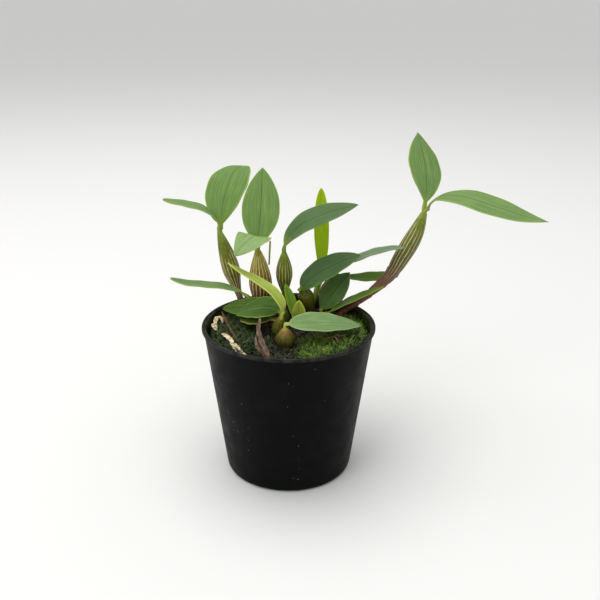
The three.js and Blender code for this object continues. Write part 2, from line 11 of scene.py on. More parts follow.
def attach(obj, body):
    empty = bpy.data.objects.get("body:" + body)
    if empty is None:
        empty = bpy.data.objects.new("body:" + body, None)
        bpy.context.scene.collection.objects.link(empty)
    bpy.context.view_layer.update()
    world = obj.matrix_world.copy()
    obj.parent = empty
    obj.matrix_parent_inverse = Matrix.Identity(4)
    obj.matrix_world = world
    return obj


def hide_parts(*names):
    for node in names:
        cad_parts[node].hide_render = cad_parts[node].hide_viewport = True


MM = 0.001
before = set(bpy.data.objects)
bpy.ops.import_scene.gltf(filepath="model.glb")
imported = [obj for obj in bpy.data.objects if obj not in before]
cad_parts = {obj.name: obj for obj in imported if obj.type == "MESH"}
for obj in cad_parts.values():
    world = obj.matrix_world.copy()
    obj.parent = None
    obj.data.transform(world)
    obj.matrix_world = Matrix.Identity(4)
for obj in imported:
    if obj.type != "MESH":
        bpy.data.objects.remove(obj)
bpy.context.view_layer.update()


# Pot
# Thin black polypropylene, vacuum formed with a narrow rolled lip and punched drain holes. The skin is satin,
# with dust specks, and a green film of algae grows where the wall stays wet above the medium.
def srgb(code):
    """Linear colour of an sRGB hex code."""
    values = [int(code[i : i + 2], 16) / 255 for i in (0, 2, 4)]
    return (*[v / 12.92 if v <= 0.04045 else ((v + 0.055) / 1.055) ** 2.4 for v in values], 1)


def new_material(name):
    """Empty node material with its output, and the node that shades it."""
    material = bpy.data.materials.new(name)
    material.use_nodes = True
    return material, material.node_tree, material.node_tree.nodes["Principled BSDF"]


def add(tree, kind, links=None, **settings):
    """Adds a node. links gives each input a value or the socket that feeds it, and settings its options."""
    made = tree.nodes.new(kind)
    for key, value in settings.items():
        setattr(made, key, value)
    for key, value in (links or {}).items():
        if isinstance(value, bpy.types.NodeSocket):
            tree.links.new(value, made.inputs[key])
        else:
            made.inputs[key].default_value = value
    return made


def feed(tree, shader, **inputs):
    """Sets or links the named inputs of a shader. Underscores stand for spaces."""
    for key, value in inputs.items():
        socket = shader.inputs[key.replace("_", " ")]
        if isinstance(value, bpy.types.NodeSocket):
            tree.links.new(value, socket)
        else:
            socket.default_value = value


def blend(tree, share, first, second):
    """Colour that goes from first to second as share goes from 0 to 1."""
    mix = add(tree, "ShaderNodeMix", data_type="RGBA")
    for index, value in ((0, share), (6, first), (7, second)):
        if isinstance(value, bpy.types.NodeSocket):
            tree.links.new(value, mix.inputs[index])
        else:
            mix.inputs[index].default_value = value
    return mix.outputs[2]


def step(tree, value, low, high, to_low=0.0, to_high=1.0):
    """Smooth rise of value from to_low at low to to_high at high."""
    ends = {"Value": value, "From Min": low, "From Max": high, "To Min": to_low, "To Max": to_high}
    return add(tree, "ShaderNodeMapRange", ends, interpolation_type="SMOOTHSTEP").outputs[0]


def calc(tree, operation, first, second=0.0):
    """One arithmetic operation on two values."""
    return add(tree, "ShaderNodeMath", {0: first, 1: second}, operation=operation).outputs[0]


def noise(tree, size_mm, detail=3.0, where=None):
    """Cloudy pattern whose blotches are about size_mm wide."""
    place = where or add(tree, "ShaderNodeTexCoord").outputs["Object"]
    links = {"Vector": place, "Scale": 1 / (size_mm * MM), "Detail": detail, "Roughness": 0.6}
    return add(tree, "ShaderNodeTexNoise", links).outputs["Fac"]


def specks(tree, spacing_mm, size, share):
    """Small round specks, about one in each spacing_mm, of which only a share are shown."""
    place = add(tree, "ShaderNodeTexCoord").outputs["Object"]
    cells = add(tree, "ShaderNodeTexVoronoi", {"Vector": place, "Scale": 1 / (spacing_mm * MM)})
    dot = step(tree, cells.outputs["Distance"], size, size * 0.5)
    pick = add(tree, "ShaderNodeSeparateColor", {"Color": cells.outputs["Color"]}).outputs[0]
    return calc(tree, "MULTIPLY", dot, step(tree, pick, share + 0.01, share - 0.01))


def bump(tree, height, depth_mm):
    """Surface normal of a relief depth_mm deep."""
    links = {"Height": height, "Distance": depth_mm * MM, "Strength": 1.0}
    return add(tree, "ShaderNodeBump", links).outputs[0]


def make_mesh(name, points, faces, smooth=True, edges=()):
    """Object from points in millimetres and the faces or loose edges between them."""
    mesh = bpy.data.meshes.new(name)
    mesh.from_pydata((np.asarray(points) * MM).tolist(), edges, [list(map(int, face)) for face in faces])
    if smooth:
        mesh.shade_smooth()
    made = bpy.data.objects.new(name, mesh)
    bpy.context.scene.collection.objects.link(made)
    return made


def settle(piece, material, slot, *nodes):
    """Gives a finished piece its material and its place in the frame."""
    piece.data.materials.clear()
    piece.data.materials.append(material)
    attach(piece, "root")
    if nodes:
        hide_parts(*nodes)


def apply_modifiers(piece):
    """Applies every modifier of a piece in order."""
    bpy.ops.object.select_all(action="DESELECT")
    piece.select_set(True)
    bpy.context.view_layer.objects.active = piece
    for modifier in list(piece.modifiers):
        bpy.ops.object.modifier_apply(modifier=modifier.name)


POT_HEIGHT = 54
RIM_RADIUS = 30
BASE_RADIUS = 22.4
POT_WALL = 0.9
LIP_OVERHANG = 0.6
POT_TURN_STEPS = 192
DRAIN_HOLES = 6
DRAIN_RADIUS = 2.2
DRAIN_CIRCLE = 14


def pot_outline():
    """Half section of the pot, from the middle of its underside round to the middle of its floor."""
    shoulder = RIM_RADIUS - LIP_OVERHANG
    bore = shoulder - POT_WALL
    return [
        (0, 0.0), (20.6, 0.0), (21.4, 0.1), (22.0, 0.5), (22.35, 1.2), (BASE_RADIUS + 0.15, 2.4),
        (shoulder - 0.12, 52.3), (shoulder - 0.06, 52.6), (RIM_RADIUS - 0.12, 52.75), (RIM_RADIUS, 52.95),
        (RIM_RADIUS, 53.55), (RIM_RADIUS - 0.12, 53.85), (RIM_RADIUS - 0.4, POT_HEIGHT),
        (RIM_RADIUS - 0.65, 53.93), (RIM_RADIUS - 0.8, 53.78), (RIM_RADIUS - 1.0, 53.75),
        (bore + 0.1, 53.6), (bore, 53.2),
        (21.35, 2.4), (21.1, 1.7), (20.4, 1.25), (0, 1.2),
    ]


def make_pot():
    """The half section spun round to a shell, with its drain holes punched."""
    points = [(radius, 0, height) for radius, height in pot_outline()]
    edges = [(index, index + 1) for index in range(len(points) - 1)]
    pot = make_mesh("pot_shell", points, [], edges=edges)
    turn = pot.modifiers.new("turn", "SCREW")
    turn.angle = 2 * math.pi
    turn.steps = turn.render_steps = POT_TURN_STEPS
    turn.use_merge_vertices = True
    turn.merge_threshold = 0.01 * MM
    turn.use_normal_calculate = True
    apply_modifiers(pot)
    for hole in range(DRAIN_HOLES):
        angle = (hole + 0.5) * 2 * math.pi / DRAIN_HOLES
        place = Vector((math.cos(angle), math.sin(angle), 0)) * DRAIN_CIRCLE * MM
        bpy.ops.mesh.primitive_cylinder_add(
            vertices=48, radius=DRAIN_RADIUS * MM, depth=5 * MM, location=place)
        drill = bpy.context.object
        cut = pot.modifiers.new("drain", "BOOLEAN")
        cut.operation = "DIFFERENCE"
        cut.object = drill
        cut.solver = "EXACT"
        apply_modifiers(pot)
        bpy.data.objects.remove(drill)
    bpy.ops.object.shade_smooth_by_angle(angle=math.radians(40))
    return pot


def pot_material():
    """Black polypropylene with dust specks, faint scuffs, algae inside the rim and a painted highlight in
    patches along the top of the lip.
    """
    material, tree, shader = new_material("pot_black_polypropylene")
    place = add(tree, "ShaderNodeTexCoord").outputs["Object"]
    parts = add(tree, "ShaderNodeSeparateXYZ", {"Vector": place})
    x, y, height = parts.outputs
    squares = calc(tree, "ADD", calc(tree, "MULTIPLY", x, x), calc(tree, "MULTIPLY", y, y))
    radius = calc(tree, "SQRT", squares)
    scuff = step(tree, noise(tree, 9, 6), 0.45, 0.75)
    plain = blend(tree, scuff, srgb("060707"), srgb("0c0d0d"))
    dust = calc(tree, "MULTIPLY", specks(tree, 1.7, 0.12, 0.2), step(tree, noise(tree, 12), 0.42, 0.62))
    dusty = blend(tree, dust, plain, srgb("77756e"))
    high = step(tree, height, 47 * MM, 52 * MM)
    wall_slope = 0.139
    wall = calc(tree, "SUBTRACT", radius, calc(tree, "MULTIPLY", height, wall_slope))
    inside = step(tree, wall, 21.4 * MM, 21.1 * MM)
    patches = step(tree, noise(tree, 3, 5), 0.35, 0.62, 0, 0.75)
    film = calc(tree, "MULTIPLY", calc(tree, "MULTIPLY", high, inside), patches)
    colour = blend(tree, film, dusty, srgb("3c4a12"))
    # Painted highlight: the top of the rolled lip is lightened to grey in patches, standing in for the light
    # line along the lip.
    lip_highlight_patches = step(tree, noise(tree, 2.2, 5), 0.3, 0.7, 0.1, 0.55)
    lip_top_highlight = calc(tree, "MULTIPLY", step(tree, height, 52.6 * MM, 53.2 * MM), lip_highlight_patches)
    colour = blend(tree, lip_top_highlight, colour, srgb("45463f"))
    rough = step(tree, noise(tree, 5, 5), 0.3, 0.7, 0.42, 0.56)
    feed(tree, shader, Base_Color=colour, Roughness=rough, IOR=1.49, Specular_IOR_Level=0.06,
         Normal=bump(tree, noise(tree, 0.6, 2), 0.01))
    return material


settle(make_pot(), pot_material(), "pot", "pot")


# Growing medium
# Fine bark, coir dust and fibres, wet and nearly black, filling the pot to 4 or 5 mm under its rim. The chips
# are crushed pine bark and the fibres are shredded coconut husk, lying as they fell.
MEDIUM_EDGE = 48.9
MEDIUM_REACH = 27.3
MOUND_HEIGHT = 1.3
MOUND_RADIUS = 28
LUMP_HEIGHT = 0.3
GRIT_HEIGHT = 0.05
CHIP_COUNT = 900
CHIP_REACH = 26.3
FIBRE_COUNT = 220
FIBRE_REACH = 23


def ground(x, y):
    """Height of the medium's surface in millimetres."""
    radius = np.hypot(x, y)
    mound = MOUND_HEIGHT * np.cos(np.minimum(radius / MOUND_RADIUS, 1) * np.pi / 2)
    lumps = np.sin(1.1 * x + 0.7 * y) + np.sin(0.9 * y - 1.3 * x + 2) + np.sin(2.3 * x - 1.9 * y)
    return MEDIUM_EDGE + mound + LUMP_HEIGHT * lumps


def rotate_all(points, axis, angle):
    """Points turned about an axis through the origin."""
    return points @ np.array(Matrix.Rotation(angle, 3, axis)).T


class Heap:
    """Many small shapes gathered into one mesh. Each point's tone says how light its material is there."""

    def __init__(self):
        self.points, self.faces, self.tones, self.count = [], [], [], 0

    def put(self, points, faces, tone):
        self.points.append(points)
        self.faces.extend([[i + self.count for i in face] for face in faces])
        self.tones.append(np.broadcast_to(tone, len(points)))
        self.count += len(points)

    def build(self, name, smooth=False):
        made = make_mesh(name, np.concatenate(self.points), self.faces, smooth)
        tone = made.data.attributes.new("tone", "FLOAT", "POINT")
        tone.data.foreach_set("value", np.concatenate(self.tones).astype(np.float32))
        return made


CUBE = np.array([[x, y, z] for x in (-0.5, 0.5) for y in (-0.5, 0.5) for z in (-0.5, 0.5)])
CUBE_FACES = [(0, 1, 3, 2), (4, 6, 7, 5), (0, 4, 5, 1), (2, 3, 7, 6), (0, 2, 6, 4), (1, 5, 7, 3)]


def bark_chip(rng, size):
    """Flat splinter of bark with broken corners."""
    box = CUBE * [size, size * rng.uniform(0.4, 0.8), size * rng.uniform(0.2, 0.4)]
    jitter = np.array([[rng.uniform(0.7, 1.15) for _ in range(3)] for _ in range(8)])
    box = box * jitter
    for axis in "XYZ":
        box = rotate_all(box, axis, rng.uniform(-0.7, 0.7) if axis != "Z" else rng.uniform(0, 6.3))
    return box


def unit(vectors):
    """Rows of vectors, each made one unit long."""
    return vectors / np.linalg.norm(vectors, axis=1)[:, None]


def shell_faces(rows, ring, seam=0):
    """Faces of a closed body made of rows of rings. With a seam, a ring's last point repeats its first."""
    sides = ring - seam
    faces = []
    for row in range(rows - 1):
        for side in range(sides):
            a = row * ring + side
            b = row * ring + (side + 1) % ring
            faces.append((a, b, b + ring, a + ring))
    faces.append(tuple(reversed(range(sides))))
    faces.append(tuple((rows - 1) * ring + side for side in range(sides)))
    return faces


def tube(points, radius, sides):
    """Closed thin tube through points, as its own points and faces."""
    points = np.asarray(points, float)
    ahead = unit(np.gradient(points, axis=0))
    reference = np.where(np.abs(ahead[:, 2:3]) > 0.9, [[1.0, 0, 0]], [[0, 0, 1.0]])
    across = unit(np.cross(reference, ahead))
    up = np.cross(ahead, across)
    angles = np.arange(sides) * 2 * np.pi / sides
    round_tube = across[:, None] * np.cos(angles)[None, :, None] + up[:, None] * np.sin(angles)[None, :, None]
    rings = points[:, None] + radius * round_tube
    return rings.reshape(-1, 3), shell_faces(len(points), sides)


def wander(rng, start, length, parts=7, curl=0.5, lift=0.1):
    """Points of a thread that lies about on a surface from start."""
    heading, points = rng.uniform(0, 6.3), [np.array(start, float)]
    for _ in range(parts):
        heading += rng.uniform(-curl, curl)
        stride = np.array([math.cos(heading), math.sin(heading), rng.uniform(-lift, lift)]) * length / parts
        points.append(points[-1] + stride)
    return points


def make_medium():
    """Body of the medium, with a relief finer than that of the solid it stands for."""
    sides, rings = 180, 90
    points = []
    for radius, height in ((20.0, 1.5), (21.1, 2.6), (MEDIUM_REACH, 47.6)):
        for side in range(sides):
            angle = side * 2 * math.pi / sides
            points.append((radius * math.cos(angle), radius * math.sin(angle), height))
    rng = np.random.default_rng(5)
    waves = rng.uniform(-4, 4, (24, 2))
    phases = rng.uniform(0, 6.3, 24)
    for ring in range(rings):
        radius = MEDIUM_REACH * (1 - ring / rings)
        angle = np.arange(sides) * 2 * np.pi / sides
        x, y = radius * np.cos(angle), radius * np.sin(angle)
        grit = sum(np.sin(x * w[0] + y * w[1] + p) for w, p in zip(waves, phases)) * GRIT_HEIGHT
        points.extend(zip(x, y, ground(x, y) + grit - 0.15))
    return make_mesh("medium_body", points, shell_faces(len(points) // sides, sides))


def medium_material(name, dark, light):
    """Wet bark and coir. tone varies from chip to chip."""
    material, tree, shader = new_material(name)
    tone = add(tree, "ShaderNodeAttribute", attribute_name="tone").outputs["Fac"]
    grain = noise(tree, 0.7, 5)
    gritty = calc(tree, "MULTIPLY", step(tree, grain, 0.35, 0.7), 0.3)
    share = calc(tree, "ADD", calc(tree, "MULTIPLY", tone, 0.8), gritty)
    feed(tree, shader, Base_Color=blend(tree, share, srgb(dark), srgb(light)), Roughness=0.85,
         Normal=bump(tree, grain, 0.15))
    return material


def scatter_bark():
    """Loose chips lying in the surface."""
    rng = random.Random(31)
    heap = Heap()
    for _ in range(CHIP_COUNT):
        angle, radius = rng.uniform(0, 6.3), CHIP_REACH * math.sqrt(rng.random())
        x, y = radius * math.cos(angle), radius * math.sin(angle)
        size = rng.uniform(0.8, 2.6)
        chip = bark_chip(rng, size) + [x, y, ground(x, y) + rng.uniform(-0.3, 0.25)]
        heap.put(chip, CUBE_FACES, rng.random() ** 2)
    return heap.build("bark_chips")


def scatter_fibres():
    """Loose fibres lying on the surface, but for those that would reach the pot's wall."""
    rng = random.Random(47)
    heap = Heap()
    for _ in range(FIBRE_COUNT):
        angle, radius = rng.uniform(0, 6.3), FIBRE_REACH * math.sqrt(rng.random())
        x, y = radius * math.cos(angle), radius * math.sin(angle)
        path = wander(rng, (x, y, ground(x, y) + 0.35), rng.uniform(2, 5), 7, 0.6, 0.25)
        if max(math.hypot(p[0], p[1]) for p in path) < MEDIUM_REACH - 0.3:
            points, faces = tube(path, rng.uniform(0.05, 0.11), 4)
            heap.put(points, faces, rng.random() ** 1.5)
    return heap.build("coir_fibres", True)


WET_COIR = medium_material("medium_wet_coir", "080704", "1c180e")
BARK_CHIPS = medium_material("medium_bark_chips", "0a0704", "30221a")
COIR_FIBRES = medium_material("medium_coir_fibres", "1e130b", "5a4028")
settle(make_medium(), WET_COIR, "growing_medium", "growing_medium")
settle(scatter_bark(), BARK_CHIPS, "growing_medium")
settle(scatter_fibres(), COIR_FIBRES, "growing_medium")


# Moss
# Feathery sheet moss that has grown over the medium: a bright cushion at the front right, a darker one at the
# left, and sparse shoots between the stems. Each shoot is a row of paired pointed leaves.
def moss_shoot(rng, height):
    """One shoot: pairs of small pointed leaves that shorten towards the tip."""
    points, faces, tones = [], [], []
    bend = rng.uniform(0.2, 0.9)
    pairs = 6
    for pair in range(pairs + 1):
        along = pair / pairs
        x = bend * height * along * along
        z = height * along
        reach = 0.95 * (1 - 0.6 * along)
        for side in (-1, 1):
            turn = side * (1.2 - 0.5 * along) + rng.uniform(-0.3, 0.3)
            out = np.array([math.cos(turn) * 0.6, math.sin(turn), 0.45]) * reach
            wide = np.array([-math.sin(turn), math.cos(turn) * 0.6, 0]) * 0.22 * reach
            root = np.array([x, 0, z])
            first = len(points)
            points.extend([root, root + 0.45 * out + wide, root + out, root + 0.45 * out - wide])
            faces.append((first, first + 1, first + 2, first + 3))
            # Tones rise from each leaf's root low on the shoot to its tip, and the low tones take the moss's
            # painted shade.
            tones.extend([along * 0.5, along * 0.6 + 0.1, along * 0.6 + 0.4, along * 0.6 + 0.1])
    return np.array(points), faces, np.array(tones)


def in_moss(x, y, patch):
    """How far inside a moss patch a point is: over 0 inside."""
    angle = math.degrees(math.atan2(y, x)) % 360
    middle = (patch["from"] + patch["to"]) / 2 % 360
    off = abs((angle - middle + 180) % 360 - 180)
    half = (patch["to"] - patch["from"]) / 2
    radius = math.hypot(x, y)
    edge = 1.3 * math.sin(9 * math.radians(angle) + patch["seed"])
    return min((half - off) * 0.4, radius - patch["inner"] - edge, patch["outer"] + 0.4 - radius)


def moss_top(x, y, patch):
    """Height of the cushion's dome."""
    depth = in_moss(x, y, patch)
    heads = math.sin(3.1 * x + 1.7 * y) * math.sin(2.6 * y - 1.1 * x)
    return 49.3 + patch["dome"] * math.sin(min(depth / 5 + 0.15, 1) * math.pi / 2) + 0.4 * heads


def grow_moss(name, patch, stems):
    """Shoots of one patch. A try that misses it counts as a small part of a shoot, so the growing ends."""
    miss = 0.05
    rng = random.Random(patch["seed"])
    heap = Heap()
    placed = 0
    while placed < patch["shoots"]:
        angle = math.radians(rng.uniform(patch["from"], patch["to"]))
        radius = math.sqrt(rng.uniform(patch["inner"] ** 2, patch["outer"] ** 2))
        x, y = radius * math.cos(angle), radius * math.sin(angle)
        depth = in_moss(x, y, patch)
        if depth < 0 or any(math.hypot(x - sx, y - sy) < room for sx, sy, room in stems):
            placed += miss
            continue
        height = rng.uniform(*patch["height"])
        points, faces, tones = moss_shoot(rng, height)
        points = rotate_all(points, "Y", rng.uniform(-0.5, 0.6))
        points = rotate_all(points, "Z", rng.uniform(0, 6.3))
        base = moss_top(x, y, patch) - 0.55 * height * rng.uniform(0.3, 1)
        clump = 0.5 + 0.5 * math.sin(0.8 * x + 1.3) * math.sin(0.7 * y + patch["seed"])
        tone = tones * (0.25 + 0.95 * rng.random() ** 1.6) * (0.45 + 0.75 * clump)
        heap.put(points + [x, y, base], faces, tone)
        placed += 1
    return heap.build(name)


def moss_material(name, deep, body, tip):
    """Living moss: near black low between the shoots, which is painted shade, green in the body and
    yellow-green at the tips.
    """
    material, tree, shader = new_material(name)
    tone = add(tree, "ShaderNodeAttribute", attribute_name="tone").outputs["Fac"]
    # The deep colour at low tones is painted shade: it darkens the lower parts of the shoots to near black,
    # where shade falls between them.
    low = blend(tree, step(tree, tone, 0.0, 0.4), srgb(deep), srgb(body))
    colour = blend(tree, step(tree, tone, 0.4, 0.95), low, srgb(tip))
    feed(tree, shader, Base_Color=colour, Roughness=0.6)
    return material


def moss_bed(name, patch):
    """Matted old growth under a cushion's shoots; its near-black material is painted shade inside the cushion.
    """
    steps_across, steps_along = 40, 110
    points, faces = [], []
    for row in range(steps_along + 1):
        angle = math.radians(patch["from"] + (patch["to"] - patch["from"]) * row / steps_along)
        for column in range(steps_across + 1):
            radius = patch["inner"] - 1 + (patch["outer"] - patch["inner"] + 1.2) * column / steps_across
            x, y = radius * math.cos(angle), radius * math.sin(angle)
            depth = in_moss(x, y, patch)
            top = moss_top(x, y, patch) - 0.5 if depth > 0 else 47.5
            rough = 0.25 * math.sin(5.3 * x + 2.1 * y) * math.sin(4.1 * y - 3.3 * x)
            points.append((x, y, top + rough))
    width = steps_across + 1
    total = len(points)
    points.extend([(x, y, 47.0) for x, y, _ in points])
    for row in range(steps_along):
        for column in range(steps_across):
            a = row * width + column
            faces.append((a, a + 1, a + 1 + width, a + width))
            faces.append((a + total, a + width + total, a + 1 + width + total, a + 1 + total))
    rim = list(range(width))
    rim += [row * width + steps_across for row in range(1, steps_along + 1)]
    rim += [steps_along * width + column for column in range(steps_across - 1, -1, -1)]
    rim += [row * width for row in range(steps_along - 1, 0, -1)]
    for index, a in enumerate(rim):
        b = rim[(index + 1) % len(rim)]
        faces.append((b, a, a + total, b + total))
    return make_mesh(name, points, faces)


# Room that the moss leaves round each stem's foot: x, y and radius.
STEM_FEET = [
    (-16.5, 20, 2), (-10.5, 18.5, 3), (0.5, 21.5, 2), (7.5, 19, 2.6), (8.5, 24, 1.8), (12, 22.5, 2),
    (12.5, 16.5, 2), (16, 12.5, 1.8), (-1, -10.5, 3.9), (-4, 0.5, 2.8), (-1, 12, 2.2), (-14, 15.5, 2),
    (3, 10, 1.4), (3.5, 7.5, 1.6),
]
MOSS_RIGHT = {"from": -78, "to": 32, "inner": 8.5, "outer": 26.6, "dome": 2.0,
              "shoots": 1900, "height": (1.3, 2.7), "seed": 11}
MOSS_LEFT = {"from": 142, "to": 234, "inner": 11, "outer": 26.6, "dome": 2.0,
             "shoots": 1500, "height": (1.2, 2.4), "seed": 23}
MOSS_THIN = {"from": 0, "to": 360, "inner": 0.5, "outer": 26.8, "dome": 0.6,
             "shoots": 1600, "height": (0.9, 1.8), "seed": 37}
MOSS_BRIGHT = moss_material("moss_bright", "080e02", "587c0a", "b8d024")
MOSS_DARK = moss_material("moss_dark", "060a02", "30480a", "84a01e")
# The beds get only the moss's deep colour: near-black painted shade inside the cushions.
MOSS_BED_SHADE_RIGHT = moss_material("moss_bed_painted_shade", "0a1203", "16260a", "223a0e")
MOSS_BED_SHADE_LEFT = moss_material("moss_bed_painted_deep_shade", "080f03", "101c07", "182a0a")

settle(grow_moss("moss_shoots_right", MOSS_RIGHT, STEM_FEET), MOSS_BRIGHT, "moss", "moss_cushion_right")
settle(moss_bed("moss_bed_right", MOSS_RIGHT), MOSS_BED_SHADE_RIGHT, "moss")
settle(grow_moss("moss_shoots_left", MOSS_LEFT, STEM_FEET), MOSS_DARK, "moss", "moss_cushion_left")
settle(moss_bed("moss_bed_left", MOSS_LEFT), MOSS_BED_SHADE_LEFT, "moss")
settle(grow_moss("moss_shoots_thin", MOSS_THIN, STEM_FEET), MOSS_DARK, "moss")


# Pseudobulbs, cane and shoots
# Swollen water-storing stems of living tissue, ribbed lengthwise and wrapped in a papery sheath that has
# dried to cream veins. They grow from a creeping rhizome, so each foot runs down into the medium.
def spline(points, count):
    """Catmull-Rom curve through rows of numbers, as count rows."""
    points = np.asarray(points, float)
    ends = np.vstack([2 * points[0] - points[1], points, 2 * points[-1] - points[-2]])
    made = []
    for t in np.linspace(0, len(points) - 1, count):
        i = min(int(t), len(points) - 2)
        f = t - i
        p0, p1, p2, p3 = ends[i : i + 4]
        made.append(0.5 * (2 * p1 + (p2 - p0) * f + (2 * p0 - 5 * p1 + 4 * p2 - p3) * f**2
                           + (3 * p1 - p0 - 3 * p2 + p3) * f**3))
    return np.array(made)


def set_uv(piece, uv):
    """Gives each corner of a mesh the pair of numbers of its point."""
    layer = piece.data.uv_layers.new(name="surface")
    corner = np.zeros(len(piece.data.loops), np.int32)
    piece.data.loops.foreach_get("vertex_index", corner)
    layer.data.foreach_set("uv", np.asarray(uv, np.float32)[corner].ravel())


def stem_radius(stem, height):
    """Radius at a height: the foot's, swelling to the belly and narrowing to the neck."""
    start, fullest, end = stem["swell"]
    swollen = np.clip((height - start) / (fullest - start), 0, 1)
    narrowed = np.clip((height - fullest) / (end - fullest), 0, 1)
    below = stem["foot"] + (stem["belly"] - stem["foot"]) * (1 - np.cos(swollen * np.pi)) / 2
    above = stem["neck"] + (stem["belly"] - stem["neck"]) * np.cos(narrowed * np.pi / 2)
    return np.where(height > fullest, above, below)


def make_stem(stem):
    """Ribbed stem. Each point is given its share of the way round the stem and of the way up it."""
    rows, sides = stem.get("rows", 110), 96
    centre = spline(stem["route"], rows)
    girth = stem_radius(stem, centre[:, 2])
    ahead = unit(np.gradient(centre, axis=0))
    right = unit(np.cross([[0, 1.0, 0]], ahead))
    back = np.cross(ahead, right)
    turn = np.arange(sides + 1) * 2 * np.pi / sides
    along = np.linspace(0, 1, rows)
    rib_depth = stem.get("rib", 0.06) * np.minimum(girth / 2, 1)
    rib = rib_depth[:, None] * np.cos(stem["ribs"] * turn)[None, :]
    lumps = 0.04 * np.sin(3 * turn[None, :] + 9 * along[:, None]) * girth[:, None]
    radius = girth[:, None] + rib + lumps
    for place in stem.get("nodes", []):
        radius += 0.16 * np.exp(-(((along - place) / 0.008) ** 2))[:, None]
        radius -= 0.1 * np.exp(-(((along - place - 0.02) / 0.01) ** 2))[:, None]
    points = centre[:, None] + radius[:, :, None] * (
        right[:, None] * np.cos(turn)[None, :, None] + back[:, None] * np.sin(turn)[None, :, None])
    uv = [(side / sides, share) for share in along for side in range(sides + 1)]
    faces = shell_faces(rows, sides + 1, seam=1)
    piece = make_mesh(stem["name"] + "_skin", points.reshape(-1, 3), faces)
    set_uv(piece, uv)
    return piece


def ramp(tree, value, stops):
    """Colour that follows value through stops of (place, hex code)."""
    node = add(tree, "ShaderNodeValToRGB", {"Fac": value})
    elements = node.color_ramp.elements
    while len(elements) < len(stops):
        elements.new(0.5)
    for element, (place, code) in zip(elements, stops):
        element.position = place
        element.color = srgb(code)
    return node.outputs["Color"]


def surface_place(tree):
    """The pair of numbers that each point of a surface was given."""
    place = add(tree, "ShaderNodeUVMap", uv_map="surface").outputs[0]
    parts = add(tree, "ShaderNodeSeparateXYZ", {"Vector": place})
    return parts.outputs[0], parts.outputs[1]


def stem_material(stem):
    """Living stem under a papery sheath whose dried veins show as cream stripes."""
    material, tree, shader = new_material(stem["name"] + "_sheathed_stem")
    around, along = surface_place(tree)
    cloud = noise(tree, 2.5, 4)
    drift = calc(tree, "MULTIPLY", calc(tree, "SUBTRACT", cloud, 0.5), 0.12)
    skin = ramp(tree, calc(tree, "ADD", along, drift), stem["skin"])
    shade = step(tree, noise(tree, 1.2, 5), 0.3, 0.7, 0.75, 1.15)
    skin = add(tree, "ShaderNodeVectorMath", {0: skin, "Scale": shade}, operation="SCALE").outputs[0]
    wobble = calc(tree, "MULTIPLY", calc(tree, "SUBTRACT", noise(tree, 3, 2), 0.5), 0.35)
    phase = calc(tree, "ADD", calc(tree, "MULTIPLY", around, stem["stripes"]), wobble)
    wave = calc(tree, "ABSOLUTE", calc(tree, "SUBTRACT", calc(tree, "FRACT", phase), 0.5))
    line = step(tree, wave, 0.15, 0.06)
    low, high = stem["sheath"]
    oblique = calc(tree, "MULTIPLY", calc(tree, "SINE", calc(tree, "MULTIPLY", around, 6 * math.pi)), 0.035)
    torn = calc(tree, "ADD", along, oblique)
    zone = calc(tree, "MULTIPLY", step(tree, along, low - 0.14, low + 0.08),
                step(tree, torn, high + 0.03, high - 0.02))
    patchy = step(tree, noise(tree, 1.8, 3), 0.3, 0.55, 0.35, 1)
    mask = calc(tree, "MULTIPLY", calc(tree, "MULTIPLY", line, zone), patchy)
    mask = calc(tree, "MULTIPLY", mask, stem["stripe_share"])
    colour = blend(tree, mask, skin, srgb(stem["stripe"]))
    feed(tree, shader, Base_Color=colour, Roughness=0.5, IOR=1.45, Specular_IOR_Level=0.3,
         Subsurface_Weight=0.05, Subsurface_Radius=(0.8, 0.9, 0.3), Subsurface_Scale=0.6 * MM,
         Normal=bump(tree, mask, 0.06))
    return material


# Skin colours from a stem's foot, at 0, to its top, at 1.
OLIVE_BULB = [(0.0, "4a2c18"), (0.35, "6e521c"), (0.55, "8c7a1e"), (0.8, "968c22"), (0.92, "848a24"),
              (0.97, "a5762a"), (1.0, "8ea23c")]
BROWN_FOOT_BULB = [(0.0, "3f2018"), (0.35, "5c3326"), (0.5, "5c4a1e"), (0.7, "6e6a1c"), (0.9, "66701e"),
                   (1.0, "7f8f30")]
DARK_BULB = [(0.0, "2c2410"), (0.4, "4c4a0f"), (0.65, "5e6212"), (0.9, "687418"), (1.0, "7c9424")]
CANE_SKIN = [(0.0, "3a1a12"), (0.15, "6b3c2c"), (0.35, "684436"), (0.5, "6b4634"), (0.6, "665234"),
             (0.72, "5b6226"), (0.9, "66701e"), (1.0, "84903c")]

